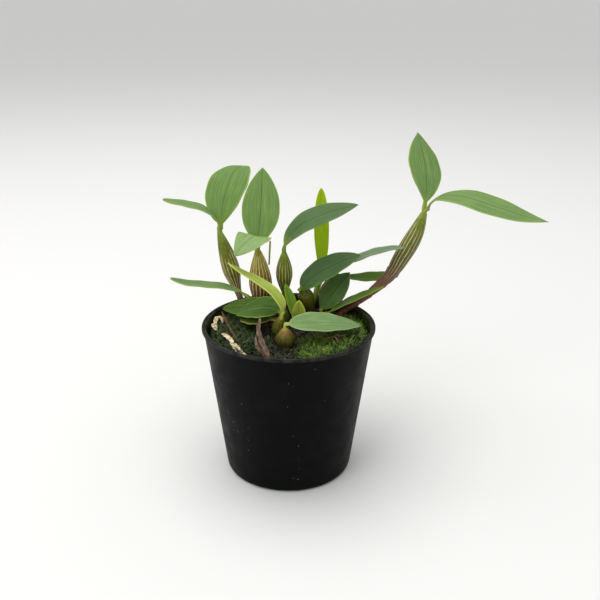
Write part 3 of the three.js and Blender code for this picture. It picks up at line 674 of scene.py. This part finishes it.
# Each stem's radius is foot at the bottom, belly at its fullest and neck at the top, and swell holds the
# heights where it starts to swell, is fullest and has narrowed. route is its middle line. sheath says between
# which shares of its length the striped sheath still clings, and stripe_share how strongly it shows.
STEMS = [
    {"name": "pseudobulb_far_left", "slot": "pseudobulb", "foot": 1.1, "belly": 3.2, "neck": 0.9,
     "swell": (55.5, 66, 79.5), "route": [
         (-15.5, 19.5, 44), (-16.5, 20, 50), (-18, 20, 55), (-20.5, 23, 62), (-23, 23, 71),
         (-25.5, 24.5, 79.5)],
     "ribs": 11, "stripes": 16, "stripe": "dccf9c", "stripe_share": 0.95, "sheath": (0.42, 0.8),
     "skin": BROWN_FOOT_BULB},
    {"name": "pseudobulb_left", "slot": "pseudobulb", "foot": 1.8, "belly": 4.1, "neck": 0.9,
     "swell": (50, 62, 74.5), "route": [
         (-10.5, 18.5, 44), (-10.5, 18.5, 62), (-11, 18.5, 70), (-11.5, 19, 74.5)],
     "ribs": 13, "stripes": 18, "stripe": "e6daa4", "stripe_share": 1.0, "sheath": (0.25, 0.84),
     "skin": OLIVE_BULB},
    {"name": "pseudobulb_middle", "slot": "pseudobulb", "foot": 1, "belly": 3, "neck": 0.8,
     "swell": (55.5, 64.5, 73), "route": [
         (0.5, 21.5, 44), (0.5, 21.5, 50), (-1.5, 21, 57), (-2, 21, 65), (-2, 21, 73)],
     "ribs": 11, "stripes": 16, "stripe": "d2c78e", "stripe_share": 0.9, "sheath": (0.45, 0.88),
     "skin": DARK_BULB},
    {"name": "pseudobulb_stout", "slot": "pseudobulb", "foot": 1.6, "belly": 2.9, "neck": 0.8,
     "swell": (49, 57, 60), "route": [
         (8, 19, 44), (7.5, 19, 50.5), (6.5, 18.5, 54.5), (5.5, 18, 58.5), (4.5, 17, 60)],
     "ribs": 9, "stripes": 12, "stripe": "7a7238", "stripe_share": 0.3, "sheath": (0.3, 0.8),
     "skin": DARK_BULB},
    {"name": "stem_strap_leaf", "slot": "shoot", "foot": 0.9, "belly": 1.1, "neck": 1,
     "swell": (50, 57, 61.5), "route": [
         (8.5, 24, 44), (8.5, 24, 50.5), (9.5, 24.5, 53.5), (10.5, 27, 57.5), (12.5, 29.5, 61.5)],
     "ribs": 6, "rib": 0.03, "stripes": 10, "stripe": "b9c45a", "stripe_share": 0.4, "sheath": (0.3, 0.95),
     "skin": [(0.0, "5a5020"), (0.4, "6f7a20"), (1.0, "8fb022")]},
    {"name": "pseudobulb_striped", "slot": "pseudobulb", "foot": 1.1, "belly": 1.4, "neck": 0.8,
     "swell": (49, 57, 62), "route": [
         (12, 22.5, 44), (12, 22.5, 50.5), (12.5, 24.5, 56), (14, 26, 59), (16.5, 26, 62)],
     "ribs": 8, "rib": 0.04, "stripes": 10, "stripe": "b08d74", "stripe_share": 0.7, "sheath": (0.35, 0.95),
     "skin": [(0.0, "4a3a1c"), (0.5, "5f5a1c"), (0.8, "7a5440"), (1.0, "7d8f2c")]},
    {"name": "shoot_short", "slot": "shoot", "foot": 1.3, "belly": 1.5, "neck": 1.3,
     "swell": (44, 48, 50), "route": [(12.5, 16.5, 44), (12.5, 16.5, 50)], "rows": 40,
     "ribs": 6, "rib": 0.03, "stripes": 10, "stripe": "a8a860", "stripe_share": 0.3, "sheath": (0.3, 0.95),
     "skin": [(0.0, "4a3a1c"), (0.6, "6f7a28"), (1.0, "7f9a35")]},
    {"name": "cane_right", "slot": "cane", "foot": 1, "belly": 3.2, "neck": 1,
     "swell": (52, 74, 86.5), "rows": 260, "nodes": [0.2, 0.3, 0.4, 0.5, 0.6], "route": [
         (14.5, 12.5, 46), (18, 13, 52), (23.5, 14, 55.5), (30, 18, 59), (37, 22, 64), (41.5, 24.5, 70.5),
         (46, 26.5, 78.5), (49, 28, 86)],
     "ribs": 9, "stripes": 14, "stripe": "d0bc98", "stripe_share": 0.9, "sheath": (0.6, 0.9),
     "skin": CANE_SKIN},
    {"name": "pseudobulb_round", "slot": "pseudobulb", "foot": 1.5, "belly": 3.3, "neck": 0.8,
     "swell": (47.5, 52.5, 56.5), "route": [(-1, -10.5, 44), (-1, -10.5, 56.5)],
     "ribs": 15, "stripes": 22, "stripe": "8f7e40", "stripe_share": 0.4, "sheath": (0.35, 0.85),
     "skin": [(0.0, "2a1e10"), (0.5, "423c0c"), (0.8, "555010"), (0.93, "80602a"), (1.0, "9a8a34")]},
    {"name": "pseudobulb_small", "slot": "pseudobulb", "foot": 1.1, "belly": 2.2, "neck": 0.9,
     "swell": (46, 52.5, 57), "route": [(-4, 1, 44), (-4, 0.5, 49.5), (-3.5, -0.5, 53), (-2.5, -2.5, 57)],
     "ribs": 11, "stripes": 16, "stripe": "9c9448", "stripe_share": 0.4, "sheath": (0.4, 0.8),
     "skin": [(0.0, "2e2410"), (0.5, "4c561a"), (0.85, "7c7a2a"), (1.0, "98963a")]},
    {"name": "shoot_new", "slot": "shoot", "foot": 1.1, "belly": 1.2, "neck": 0.8,
     "swell": (46, 51, 56.5), "route": [(-0.5, 12.5, 44), (-1, 12, 50), (-2, 11.5, 54), (-2.5, 11, 56.5)],
     "ribs": 6, "rib": 0.03, "stripes": 10, "stripe": "b9c45a", "stripe_share": 0.3, "sheath": (0.3, 0.9),
     "skin": [(0.0, "4f5a20"), (0.6, "6f8a28"), (1.0, "7f9a35")]},
    {"name": "stub_old", "slot": "pseudobulb", "foot": 1, "belly": 1.2, "neck": 0.8,
     "swell": (45, 52, 57), "route": [(-14, 15.5, 44), (-14, 15.5, 50), (-14.5, 15.5, 57)],
     "ribs": 6, "rib": 0.04, "stripes": 8, "stripe": "c9a050", "stripe_share": 0.5, "sheath": (0.5, 0.95),
     "skin": [(0.0, "3f2814"), (0.5, "7a5a22"), (0.8, "b08a2c"), (1.0, "b08f30")]},
    {"name": "old_flower_stalk", "slot": "shoot", "foot": 0.3, "belly": 0.35, "neck": 0.3,
     "swell": (70, 73.5, 77), "route": [(-7.5, 21.5, 68), (-7, 21.5, 77)],
     "ribs": 4, "rib": 0.0, "stripes": 6, "stripe": "a89a4a", "stripe_share": 0.3, "sheath": (0.1, 0.9),
     "skin": [(0.0, "7a8a3c"), (0.7, "93a04a"), (1.0, "a3893f")]},
]
for stem in STEMS:
    settle(make_stem(stem), stem_material(stem), stem["slot"], stem["name"])


# Leaves
# Leathery blades of living tissue, each with a grooved midrib, faint parallel veins and a thin paler margin.
# They grow from short stalks at the tops of the bulbs and shoots, but for two young folded spears that come
# up through the moss.

# Outlines of a blade, shared by the leaves. widest is where along the blade it is widest, fullness how
# quickly it narrows from there, cup how far each half folds up in degrees, and stalk the share of the length
# that is a narrow stalk.
FORMS = {
    "oval": {"widest": 0.5, "fullness": 1.5, "cup": 4, "stalk": 0.05},
    "broad": {"widest": 0.45, "fullness": 1.6, "cup": 6, "stalk": 0.04},
    "lance": {"widest": 0.4, "fullness": 1.3, "cup": 6, "stalk": 0.05},
    "slim": {"widest": 0.5, "fullness": 1, "cup": 2, "stalk": 0.08},
    "long": {"widest": 0.5, "fullness": 2.2, "cup": 1, "stalk": 0.05},
    "tongue": {"widest": 0.25, "fullness": 1.1, "cup": 18, "stalk": 0.05},
    "strap": {"widest": 0.5, "fullness": 1.15, "cup": 15, "stalk": 0.02},
    "spear": {"widest": 0.5, "fullness": 1.5, "cup": 28, "stalk": 0.05},
}
STEM_TOPS = {stem["name"]: Vector(stem["route"][-1]) for stem in STEMS}


def leaf_foot(leaf):
    """Where a leaf starts: beside the top of its stem, or where a young spear leaves the moss."""
    if "foot" in leaf:
        return Vector(leaf["foot"])
    return STEM_TOPS[leaf["on"]] + Vector(leaf["offset"])


def blade_frames(leaf, steps):
    """Spine points with the directions across the blade and out of its upper face."""
    heading, rise = math.radians(leaf["heading"]), math.radians(leaf["rise"])
    ahead = Vector((math.cos(rise) * math.cos(heading), math.cos(rise) * math.sin(heading), math.sin(rise)))
    roll = Quaternion(ahead, math.radians(leaf.get("roll", 0)))
    side = roll @ Vector((math.sin(heading), -math.cos(heading), 0))
    face = side.cross(ahead)
    spine = leaf_foot(leaf)
    rows = [(spine.copy(), side.copy(), face.copy())]
    near, far = leaf["arch"]
    for index in range(steps):
        along = (index + 0.5) / steps
        before = ahead.copy()
        droop = math.radians(near * 3 * (1 - along) ** 2 + far * 3 * along**2) / steps
        ahead = Quaternion(side, -droop) @ ahead
        face = side.cross(ahead)
        swing = Quaternion(face, math.radians(leaf.get("sweep", 0) * 2 * (1 - along)) / steps)
        ahead = swing @ ahead
        side = Quaternion(ahead, math.radians(leaf.get("twist", 0)) / steps) @ (swing @ side)
        face = side.cross(ahead)
        spine = spine + (before + ahead) * (leaf["length"] / steps / 2)
        rows.append((spine.copy(), side.copy(), face.copy()))
    return rows


def blade_shape(form, along):
    """Half width of the blade as a share of its greatest."""
    share = (along - form["stalk"]) / (1 - form["stalk"])
    if share <= 0 or share >= 1:
        return 0.0
    widest, fullness = form["widest"], form["fullness"]
    return ((share / widest) ** widest * ((1 - share) / (1 - widest)) ** (1 - widest)) ** fullness


def leaf_neck(leaf, foot, side, face, count):
    """Rows of the short neck that joins a leaf's foot to the inside of its stem's top."""
    if "on" not in leaf:
        return []
    root = STEM_TOPS[leaf["on"]] + Vector((0, 0, -0.8))
    knee = Vector((root.x, root.y, foot.z)).lerp(foot, 0.3)
    ahead = face.cross(side)
    rows = []
    for row in range(count):
        share = row / count
        place = root.lerp(knee, share).lerp(knee.lerp(foot, share), share)
        course = Vector((0, 0, 1)).lerp(ahead, share).normalized()
        across = (side - course * side.dot(course)).normalized()
        rows.append((place, across, across.cross(course)))
    return rows


def make_leaf(leaf):
    """Blade as a closed thin body. Each point is given its share of the way along the blade and across it."""
    steps, half_count, neck_rows = 90, 20, 10
    form = FORMS[leaf["form"]]
    cup = math.radians(form["cup"])
    cross = np.sin(np.linspace(-math.pi / 2, math.pi / 2, 2 * half_count + 1))
    points, uv = [], []
    seed = sum(map(ord, leaf["name"]))
    blade = blade_frames(leaf, steps)
    neck = leaf_neck(leaf, *blade[0], neck_rows)
    for row, (spine, side, face) in enumerate(neck + blade):
        along = max(row - len(neck), 0) / steps
        stalk = 0.9 * (1 - along) ** 2 if along < 0.5 else 0
        half = max(leaf["width"] / 2 * blade_shape(form, along), stalk, 0.12)
        out = np.sqrt(cross**2 + 0.0012)
        lift = half * out * math.sin(cup)
        waves = 0.012 * np.sin(9 * along + seed) * cross + 0.02 * np.sin(23 * along + seed) * cross**2
        lift = lift + half * waves
        round_foot = 0.35 * max(0, 1 - along / 0.06)
        thick = (0.34 - 0.2 * cross**2) * min(1, half / 1.2 + 0.35)
        thick = thick + round_foot * np.sqrt(1 - 0.96 * cross**2)
        groove = 0.16 * np.exp(-((cross * half / 0.28) ** 2)) * min(1, half / 2)
        keel = 0.3 * np.exp(-((cross * half / 0.35) ** 2)) * min(1, half / 2) * (1 - along)
        veins = 0.012 * np.cos(cross * math.pi * 18) * (1 - cross**2)
        middle = np.array(spine) + np.outer(cross * half * math.cos(cup), side) + np.outer(lift, face)
        top = middle + np.outer(thick - groove + veins, face)
        bottom = middle - np.outer(thick + keel, face)
        ring = np.vstack([bottom[::-1], top])
        points.extend(ring)
        sides = np.concatenate([cross[::-1], cross]) * 0.5 + 0.5
        uv.extend(zip([along] * len(sides), sides))
    rows = len(neck) + len(blade)
    piece = make_mesh(leaf["name"] + "_blade", points, shell_faces(rows, 2 * len(cross)))
    set_uv(piece, uv)
    under = piece.data.attributes.new("under", "FLOAT", "POINT")
    flags = np.tile(np.repeat([1.0, 0.0], len(cross)), rows)
    under.data.foreach_set("value", flags.astype(np.float32))
    return piece


def clamp(tree, value):
    """value held between 0 and 1."""
    return add(tree, "ShaderNodeClamp", {"Value": value}).outputs[0]


def leaf_material(leaf):
    """Living leaf: blotched face, veins, dark midrib, pale margin and yellow-green foot."""
    material, tree, shader = new_material(leaf["name"] + "_living_leaf")
    along, across = surface_place(tree)
    signed = calc(tree, "SUBTRACT", calc(tree, "MULTIPLY", across, 2.0), 1.0)
    out = calc(tree, "ABSOLUTE", signed)
    face, light, margin, foot, middle = [srgb(code) for code in leaf["colours"]]
    drift = calc(tree, "SUBTRACT", noise(tree, 6, 3), 0.5)
    stretch = {0: calc(tree, "MULTIPLY", along, 2.5), 1: calc(tree, "MULTIPLY", signed, 16.0)}
    stretched = add(tree, "ShaderNodeCombineXYZ", stretch).outputs[0]
    streaks = add(tree, "ShaderNodeTexNoise", {"Vector": stretched, "Scale": 1.0, "Detail": 3.0})
    streak = step(tree, streaks.outputs["Fac"], 0.4, 0.66, 0, 0.9)
    vein = calc(tree, "COSINE", calc(tree, "MULTIPLY", signed, 18 * math.pi))
    share = calc(tree, "ADD", streak, calc(tree, "MULTIPLY", drift, 0.8))
    share = calc(tree, "ADD", share, calc(tree, "MULTIPLY", vein, 0.12))
    colour = blend(tree, clamp(tree, share), face, light)
    colour = blend(tree, specks(tree, 1.1, 0.09, 0.1), colour, srgb("c9d6b4"))
    near_foot = step(tree, along, leaf.get("foot_reach", 0.2), 0.02)
    base = clamp(tree, calc(tree, "ADD", near_foot, calc(tree, "MULTIPLY", drift, 0.2)))
    colour = blend(tree, calc(tree, "MULTIPLY", base, 0.85), colour, foot)
    rib = calc(tree, "MULTIPLY", step(tree, out, 0.035, 0.008), step(tree, along, 1.0, 0.7, 0.35, 0.8))
    colour = blend(tree, rib, colour, middle)
    edge = calc(tree, "MULTIPLY", step(tree, out, leaf.get("edge", 0.93), 0.985), leaf.get("edge_share", 0.8))
    colour = blend(tree, edge, colour, margin)
    under = add(tree, "ShaderNodeAttribute", attribute_name="under").outputs["Fac"]
    colour = blend(tree, calc(tree, "MULTIPLY", under, 0.5), colour, light)
    relief = calc(tree, "ADD", calc(tree, "MULTIPLY", vein, 0.35), noise(tree, 0.5, 2))
    feed(tree, shader, Base_Color=colour, Roughness=0.52, IOR=1.45, Specular_IOR_Level=leaf.get("gloss", 0.2),
         Subsurface_Weight=0.05, Subsurface_Radius=(0.5, 1.0, 0.15), Subsurface_Scale=0.8 * MM,
         Normal=bump(tree, relief, 0.03))
    return material


# Living leaf colours: face, lighter blotches, margin, foot and midrib.
GLAUCOUS = ("5e7f44", "7c9650", "9cb450", "88982c", "3c5a2c")
BROAD_PALE = ("587a3c", "708c40", "96b044", "7a8e20", "3c5a26")
UPRIGHT_PALE = ("6f9250", "86a656", "a6c05c", "88a030", "3f6030")
FOLDED_PALE = ("7c9a5e", "92ac6c", "a4bc68", "93a840", "587844")
GREY_GREEN = ("456036", "5b7446", "78944a", "869c38", "2a4224")
UPPER_GREY = ("5c7450", "748864", "88a058", "869c38", "3a5432")
ROUND_GREY = ("607e4c", "7c985e", "b4c078", "a8b44c", "4c6c3c")
DARK = ("3a5430", "4c6834", "6c8838", "7a8c2c", "22381e")
SHORT_DARK = ("4a6836", "5c7c38", "7c9840", "8a9a34", "2c4420")
DEEP = ("3e600a", "56760e", "8c9c30", "8c9430", "284410")
BRIGHT = ("94aa48", "b8c45c", "d4dc64", "b4b448", "7c9438")
STRAP = ("98bc04", "a8c808", "b4cc18", "98b810", "c0d848")
SMALL_GREEN = ("3c5c20", "54742a", "9cb044", "8aa03a", "8aa038")
LOW_BROWN = ("3a5420", "506a28", "a8923c", "8a8234", "2c4418")
FLAT_GREEN = ("405c16", "567220", "94a844", "8a9a34", "2c4418")
SPEAR_GREEN = ("648c24", "86ac34", "c8d850", "90a834", "50781e")
SPEAR_YELLOW = ("a4b43c", "bccb50", "e2e668", "c0b440", "8c9c30")

# Each leaf grows on a stem, its foot offset from the stem's top, or from its own foot in the moss. It heads
# along the compass angle heading (0 is +X, 90 is +Y), climbing at rise degrees, with its face rolled by roll.
# It droops by arch's first angle in its near half and its second in its far half, turns by sweep, and twists.
LEAVES = [
    {"name": "leaf_far_left_broad", "slot": "leaf", "form": "oval", "on": "pseudobulb_far_left",
     "offset": (0.5, 0.5, 1), "heading": 90, "rise": 55, "roll": -30, "arch": (5, 70), "sweep": -10,
     "twist": 10, "length": 32, "width": 17.5, "colours": BROAD_PALE},
    {"name": "leaf_far_left_arching", "slot": "leaf", "form": "slim", "on": "pseudobulb_far_left",
     "offset": (0, -1, 1.5), "heading": 180, "rise": 95, "roll": 5, "arch": (90, -10), "twist": -5,
     "length": 24.5, "width": 7.5, "colours": GLAUCOUS},
    {"name": "leaf_left_upright", "slot": "leaf", "form": "broad", "on": "pseudobulb_left",
     "offset": (0, 1, 1), "heading": 75, "rise": 70, "roll": 30, "arch": (-10, 0), "sweep": 5,
     "length": 28, "width": 14, "colours": UPRIGHT_PALE},
    {"name": "leaf_left_folded", "slot": "leaf", "form": "lance", "on": "pseudobulb_left",
     "offset": (0, -1, 1), "heading": -55, "rise": 75, "roll": -30, "arch": (80, 45), "sweep": -25,
     "twist": -40, "length": 24.5, "width": 11, "colours": FOLDED_PALE},
    {"name": "leaf_middle_arching", "slot": "leaf", "form": "broad", "on": "pseudobulb_middle",
     "offset": (0, 0, 1), "heading": 10, "rise": 80, "roll": 20, "arch": (55, -10), "sweep": -40,
     "length": 33, "width": 10.5, "colours": GREY_GREEN},
    {"name": "leaf_strap", "slot": "leaf_new", "form": "strap", "on": "stem_strap_leaf",
     "offset": (-0.5, 0, 1), "heading": 100, "rise": 80, "roll": 10, "arch": (0, -10), "twist": -5,
     "length": 31.5, "width": 6, "colours": STRAP},
    {"name": "leaf_stout_bulb", "slot": "leaf_dark", "form": "lance", "on": "pseudobulb_stout",
     "offset": (-1, -1.5, 0), "heading": 5, "rise": 55, "roll": 20, "arch": (25, 10), "sweep": -15,
     "length": 26, "width": 12.5, "colours": DARK, "foot_reach": 0.1},
    {"name": "leaf_short_shoot_broad", "slot": "leaf_dark", "form": "broad", "on": "shoot_short",
     "offset": (-1, 1, 1.5), "heading": 15, "rise": 60, "roll": 25, "arch": (10, -20), "sweep": -10,
     "twist": 5, "length": 18, "width": 10.5, "colours": SHORT_DARK, "foot_reach": 0.12},
    {"name": "leaf_short_shoot_narrow", "slot": "leaf_dark", "form": "lance", "on": "shoot_short",
     "offset": (1.5, -3, 2), "heading": -5, "rise": 40, "roll": -5, "arch": (15, -5),
     "length": 23, "width": 9, "colours": DEEP},
    {"name": "leaf_striped_bulb_upper", "slot": "leaf", "form": "lance", "on": "pseudobulb_striped",
     "offset": (1, -0.5, 3), "heading": -15, "rise": 35, "arch": (10, 20),
     "length": 27.5, "width": 10.5, "colours": UPPER_GREY},
    {"name": "leaf_striped_bulb_lower", "slot": "leaf_dark", "form": "long", "on": "pseudobulb_striped",
     "offset": (1, 0.5, 0.5), "heading": 20, "rise": -15, "roll": -30, "arch": (-10, 5), "twist": -20,
     "length": 27, "width": 9.5, "colours": DEEP, "gloss": 0.05},
    {"name": "leaf_cane_upright", "slot": "leaf", "form": "long", "on": "cane_right",
     "offset": (0, 1, 1.5), "heading": 65, "rise": 55, "roll": 45, "arch": (20, 0), "sweep": 15,
     "length": 32.5, "width": 14, "colours": GLAUCOUS},
    {"name": "leaf_cane_long", "slot": "leaf", "form": "long", "on": "cane_right",
     "offset": (1, -1, 1.5), "heading": -85, "rise": 60, "roll": 45, "arch": (95, -25), "sweep": 10,
     "twist": 5, "length": 49, "width": 10.5, "colours": GLAUCOUS},
    {"name": "leaf_round_bulb", "slot": "leaf", "form": "lance", "on": "pseudobulb_round",
     "offset": (0, 0.5, 1), "heading": 5, "rise": 5, "roll": 15, "arch": (15, 10), "sweep": 10, "twist": -5,
     "length": 27, "width": 11, "colours": ROUND_GREY, "foot_reach": 0.1},
    {"name": "leaf_small_bulb_tall", "slot": "leaf_new", "form": "tongue", "on": "pseudobulb_small",
     "offset": (0.5, -0.5, 1.5), "heading": 170, "rise": 85, "roll": -5, "arch": (65, -20), "twist": 5,
     "length": 26.5, "width": 7.5, "colours": BRIGHT, "edge": 0.8},
    {"name": "leaf_small_bulb_wide", "slot": "leaf_dark", "form": "lance", "on": "pseudobulb_small",
     "offset": (0, 1, 1.5), "heading": 150, "rise": 15, "roll": -20, "arch": (25, 15), "sweep": 25,
     "twist": 10, "length": 18, "width": 12.5, "colours": SMALL_GREEN, "foot_reach": 0.1},
    {"name": "leaf_small_bulb_low", "slot": "leaf_dark", "form": "oval", "on": "pseudobulb_small",
     "offset": (-3, 2, -1.5), "heading": 170, "rise": 0, "roll": -10, "arch": (5, 15), "sweep": -5,
     "twist": 10, "length": 12, "width": 10, "colours": LOW_BROWN, "edge": 0.88},
    {"name": "leaf_new_shoot_flat", "slot": "leaf_dark", "form": "oval", "on": "shoot_new",
     "offset": (-0.5, 0, 1), "heading": 180, "rise": -10, "roll": -30, "arch": (0, -15),
     "length": 21, "width": 7.5, "colours": FLAT_GREEN},
    {"name": "leaf_old_stub", "slot": "leaf", "form": "slim", "on": "stub_old",
     "offset": (-1, 0, 1), "heading": 175, "rise": 40, "roll": 5, "arch": (45, -30), "sweep": 5,
     "length": 28.5, "width": 7.5, "colours": GLAUCOUS},
    {"name": "spear_tall", "slot": "leaf_new", "form": "spear", "foot": (3, 10, 49),
     "heading": 130, "rise": 55, "arch": (-10, -5), "twist": -10, "length": 15.5, "width": 4.5,
     "colours": SPEAR_GREEN},
    {"name": "spear_short", "slot": "leaf_new", "form": "spear", "foot": (3.5, 7.5, 49),
     "heading": 90, "rise": 90, "arch": (0, 0), "length": 10.5, "width": 5.5, "colours": SPEAR_YELLOW,
     "edge": 0.75},
]
for leaf in LEAVES:
    settle(make_leaf(leaf), leaf_material(leaf), leaf["slot"], leaf["name"])


# Litter
# Dead matter that dropped from the plant: torn papery bulb sheaths, bleached cream shreds, a dry flower stem
# leaning on the wall, and a twig on the moss. All are dry and loose.
def make_strip(name, strip, seed):
    """Thin curled ribbon through points, ragged along its edges."""
    rows, across = 60, 8
    line = spline([(*p, 0) for p in strip["points"]], rows)[:, :3]
    ahead = unit(np.gradient(line, axis=0))
    side = unit(np.cross([strip["faces"]], ahead))
    up = np.cross(ahead, side)
    rng = np.random.default_rng(seed)
    along = np.linspace(0, 1, rows)
    ragged = 1 + 0.12 * np.sin(37 * along + seed) + 0.1 * rng.uniform(-1, 1, rows)
    half = strip["width"] / 2 * np.sin(np.pi * (0.08 + 0.87 * along)) ** 0.7 * ragged
    points, uv = [], []
    place = np.linspace(-1, 1, across + 1)
    for row in range(rows):
        curl = strip.get("curl", 0.35) * half[row] * (place**2 - 0.4)
        thick = strip["thickness"] / 2 * (1 - 0.5 * place**2)
        centre = line[row] + np.outer(place * half[row], side[row]) + np.outer(curl, up[row])
        top, bottom = centre + np.outer(thick, up[row]), centre - np.outer(thick, up[row])
        points.extend(np.vstack([top, bottom[::-1]]))
        uv.extend([(along[row], p * 0.5 + 0.5) for p in np.concatenate([place, place[::-1]])])
    outward = [face[:1] + face[:0:-1] for face in shell_faces(rows, 2 * len(place))]
    piece = make_mesh(name, points, outward)
    set_uv(piece, uv)
    return piece


def dry_material(name, dark, light, stripes):
    """Dead papery tissue with lengthwise fibres."""
    material, tree, shader = new_material(name)
    _, across = surface_place(tree)
    grain = calc(tree, "COSINE", calc(tree, "MULTIPLY", across, stripes * 2 * math.pi))
    cloud = noise(tree, 1.4, 5)
    share = clamp(tree, calc(tree, "ADD", step(tree, cloud, 0.3, 0.7), calc(tree, "MULTIPLY", grain, 0.15)))
    feed(tree, shader, Base_Color=blend(tree, share, srgb(dark), srgb(light)), Roughness=0.75,
         Normal=bump(tree, share, 0.08))
    return material


def join(name, parts):
    """Several meshes as one piece."""
    bpy.ops.object.select_all(action="DESELECT")
    for part in parts:
        part.select_set(True)
    bpy.context.view_layer.objects.active = parts[0]
    bpy.ops.object.join()
    parts[0].name = name
    return parts[0]


UP, FRONT = (0, 0, 1), (0, -1, 0)
SHEATH = dry_material("litter_dry_sheath", "5c4438", "9a8068", 5)
SHRED = dry_material("litter_bleached_shred", "a88a5a", "efe0bc", 4)
STICK = dry_material("litter_dead_stalk", "2c1a10", "6a4a30", 3)

# Each piece has its slot, its material and the flat strips that it is joined from. A strip runs through
# points, with its flat side looking the way faces says.
STRIPS = {
    "dry_stick": ("dry_stick", STICK, [
        {"width": 0.9, "thickness": 0.7, "faces": UP, "curl": 0, "points": [
            (-24, 9.5, 54), (-21, 0, 53), (-16, -13.5, 51.5)]}]),
    "dry_shreds_upper": ("dry_shreds", SHRED, [
        {"width": 1.6, "thickness": 0.3, "faces": UP, "points": [
            (-26, 3.5, 51), (-26, 6, 52), (-25.5, 8, 52.5), (-24, 7.5, 52.5), (-23.5, 5.5, 51.5)]},
        {"width": 1.8, "thickness": 0.3, "faces": UP, "points": [
            (-26.5, 5, 51.5), (-26, 1.5, 52), (-25, -1.5, 51.5)]}]),
    "dry_shreds_lower": ("dry_shreds", SHRED, [
        {"width": 1.8, "thickness": 0.3, "faces": UP, "points": [
            (-22.5, -3.5, 51.5), (-21.5, -7.5, 52.5), (-19.5, -11, 52.5), (-18, -14, 52)]},
        {"width": 2.2, "thickness": 0.3, "faces": UP, "points": [
            (-19, -12.5, 52), (-17.5, -15.5, 52), (-15.5, -18.5, 51), (-13, -20.5, 50.5)]}]),
    "dry_sheath_tall": ("dry_sheath", SHEATH, [
        {"width": 1.7, "thickness": 0.3, "faces": FRONT, "points": [
            (-6, -21, 48.5), (-6.5, -20.5, 51.5), (-8.5, -19, 55.5), (-9.5, -18, 59), (-9, -17, 62.5)]},
        {"width": 1.1, "thickness": 0.3, "faces": FRONT, "points": [
            (-6.5, -20.5, 48.5), (-8, -20, 51.5), (-10, -19.5, 54), (-10.5, -18, 56.5)]}]),
    "twig_on_moss": ("dry_stick", STICK, [
        {"width": 0.5, "thickness": 0.4, "faces": UP, "curl": 0, "points": [
            (12, -13.5, 53.5), (15.5, -11.5, 54), (19, -10, 53.5)]},
        {"width": 0.5, "thickness": 0.4, "faces": UP, "curl": 0, "points": [
            (14.5, -10, 53), (15.5, -12, 54), (17, -15, 53)]}]),
}
for name, (slot, material, strips) in STRIPS.items():
    parts = [make_strip(f"{name}_{index}", strip, index + len(name)) for index, strip in enumerate(strips)]
    settle(join(name + "_ribbon", parts), material, slot, name)


# Stage
# Plain pale floor, flat and wide enough to fill the photograph's view, one large soft light overhead and a
# weaker one from the front left.
def floor_material():
    """Matt pale paper."""
    material, tree, shader = new_material("stage_pale_paper")
    feed(tree, shader, Base_Color=srgb("e4e3e0"), Roughness=0.8)
    return material


bpy.ops.mesh.primitive_plane_add(size=80, location=(0, 0, -0.0001))
floor = bpy.context.object
floor.name = "stage_floor"
floor.data.materials.append(floor_material())


def soft_light(name, place, size, power, target=(0, 0, 0.05)):
    """Round area light that looks at the plant."""
    bpy.ops.object.light_add(type="AREA", location=place)
    light = bpy.context.object
    light.name = name
    light.data.shape = "DISK"
    light.data.size = size
    light.data.energy = power
    light.rotation_euler = (Vector(target) - Vector(place)).to_track_quat("-Z", "Y").to_euler()


soft_light("light_overhead", (-0.15, 0.1, 0.9), 0.9, 5)
soft_light("light_front_left", (-0.6, -0.7, 0.6), 0.7, 2.4)
world = bpy.context.scene.world or bpy.data.worlds.new("world")
bpy.context.scene.world = world
world.use_nodes = True
world.node_tree.nodes["Background"].inputs["Color"].default_value = srgb("f4f5f7")
world.node_tree.nodes["Background"].inputs["Strength"].default_value = 0.8


# Camera
# The photograph's viewing angle: 26 cm in front of the pot's middle and 16 cm above the floor, looking down by
# 21 degrees and leaning by a quarter of a degree.
CAMERA_PLACE = (0.00387, -0.25581, 0.16071)
CAMERA_LOOKS_DOWN = 21.01
CAMERA_LEANS = 0.27
bpy.ops.object.camera_add(location=CAMERA_PLACE)
camera = bpy.context.object
camera.rotation_mode = "QUATERNION"
tilt = Euler((math.radians(90 - CAMERA_LOOKS_DOWN), 0, 0)).to_quaternion()
camera.rotation_quaternion = tilt @ Quaternion((0, 0, 1), math.radians(CAMERA_LEANS))
camera.data.lens = 48
camera.data.sensor_width = 36
camera.data.clip_start = 0.005
bpy.context.scene.camera = camera
bpy.context.scene.view_settings.view_transform = "Standard"
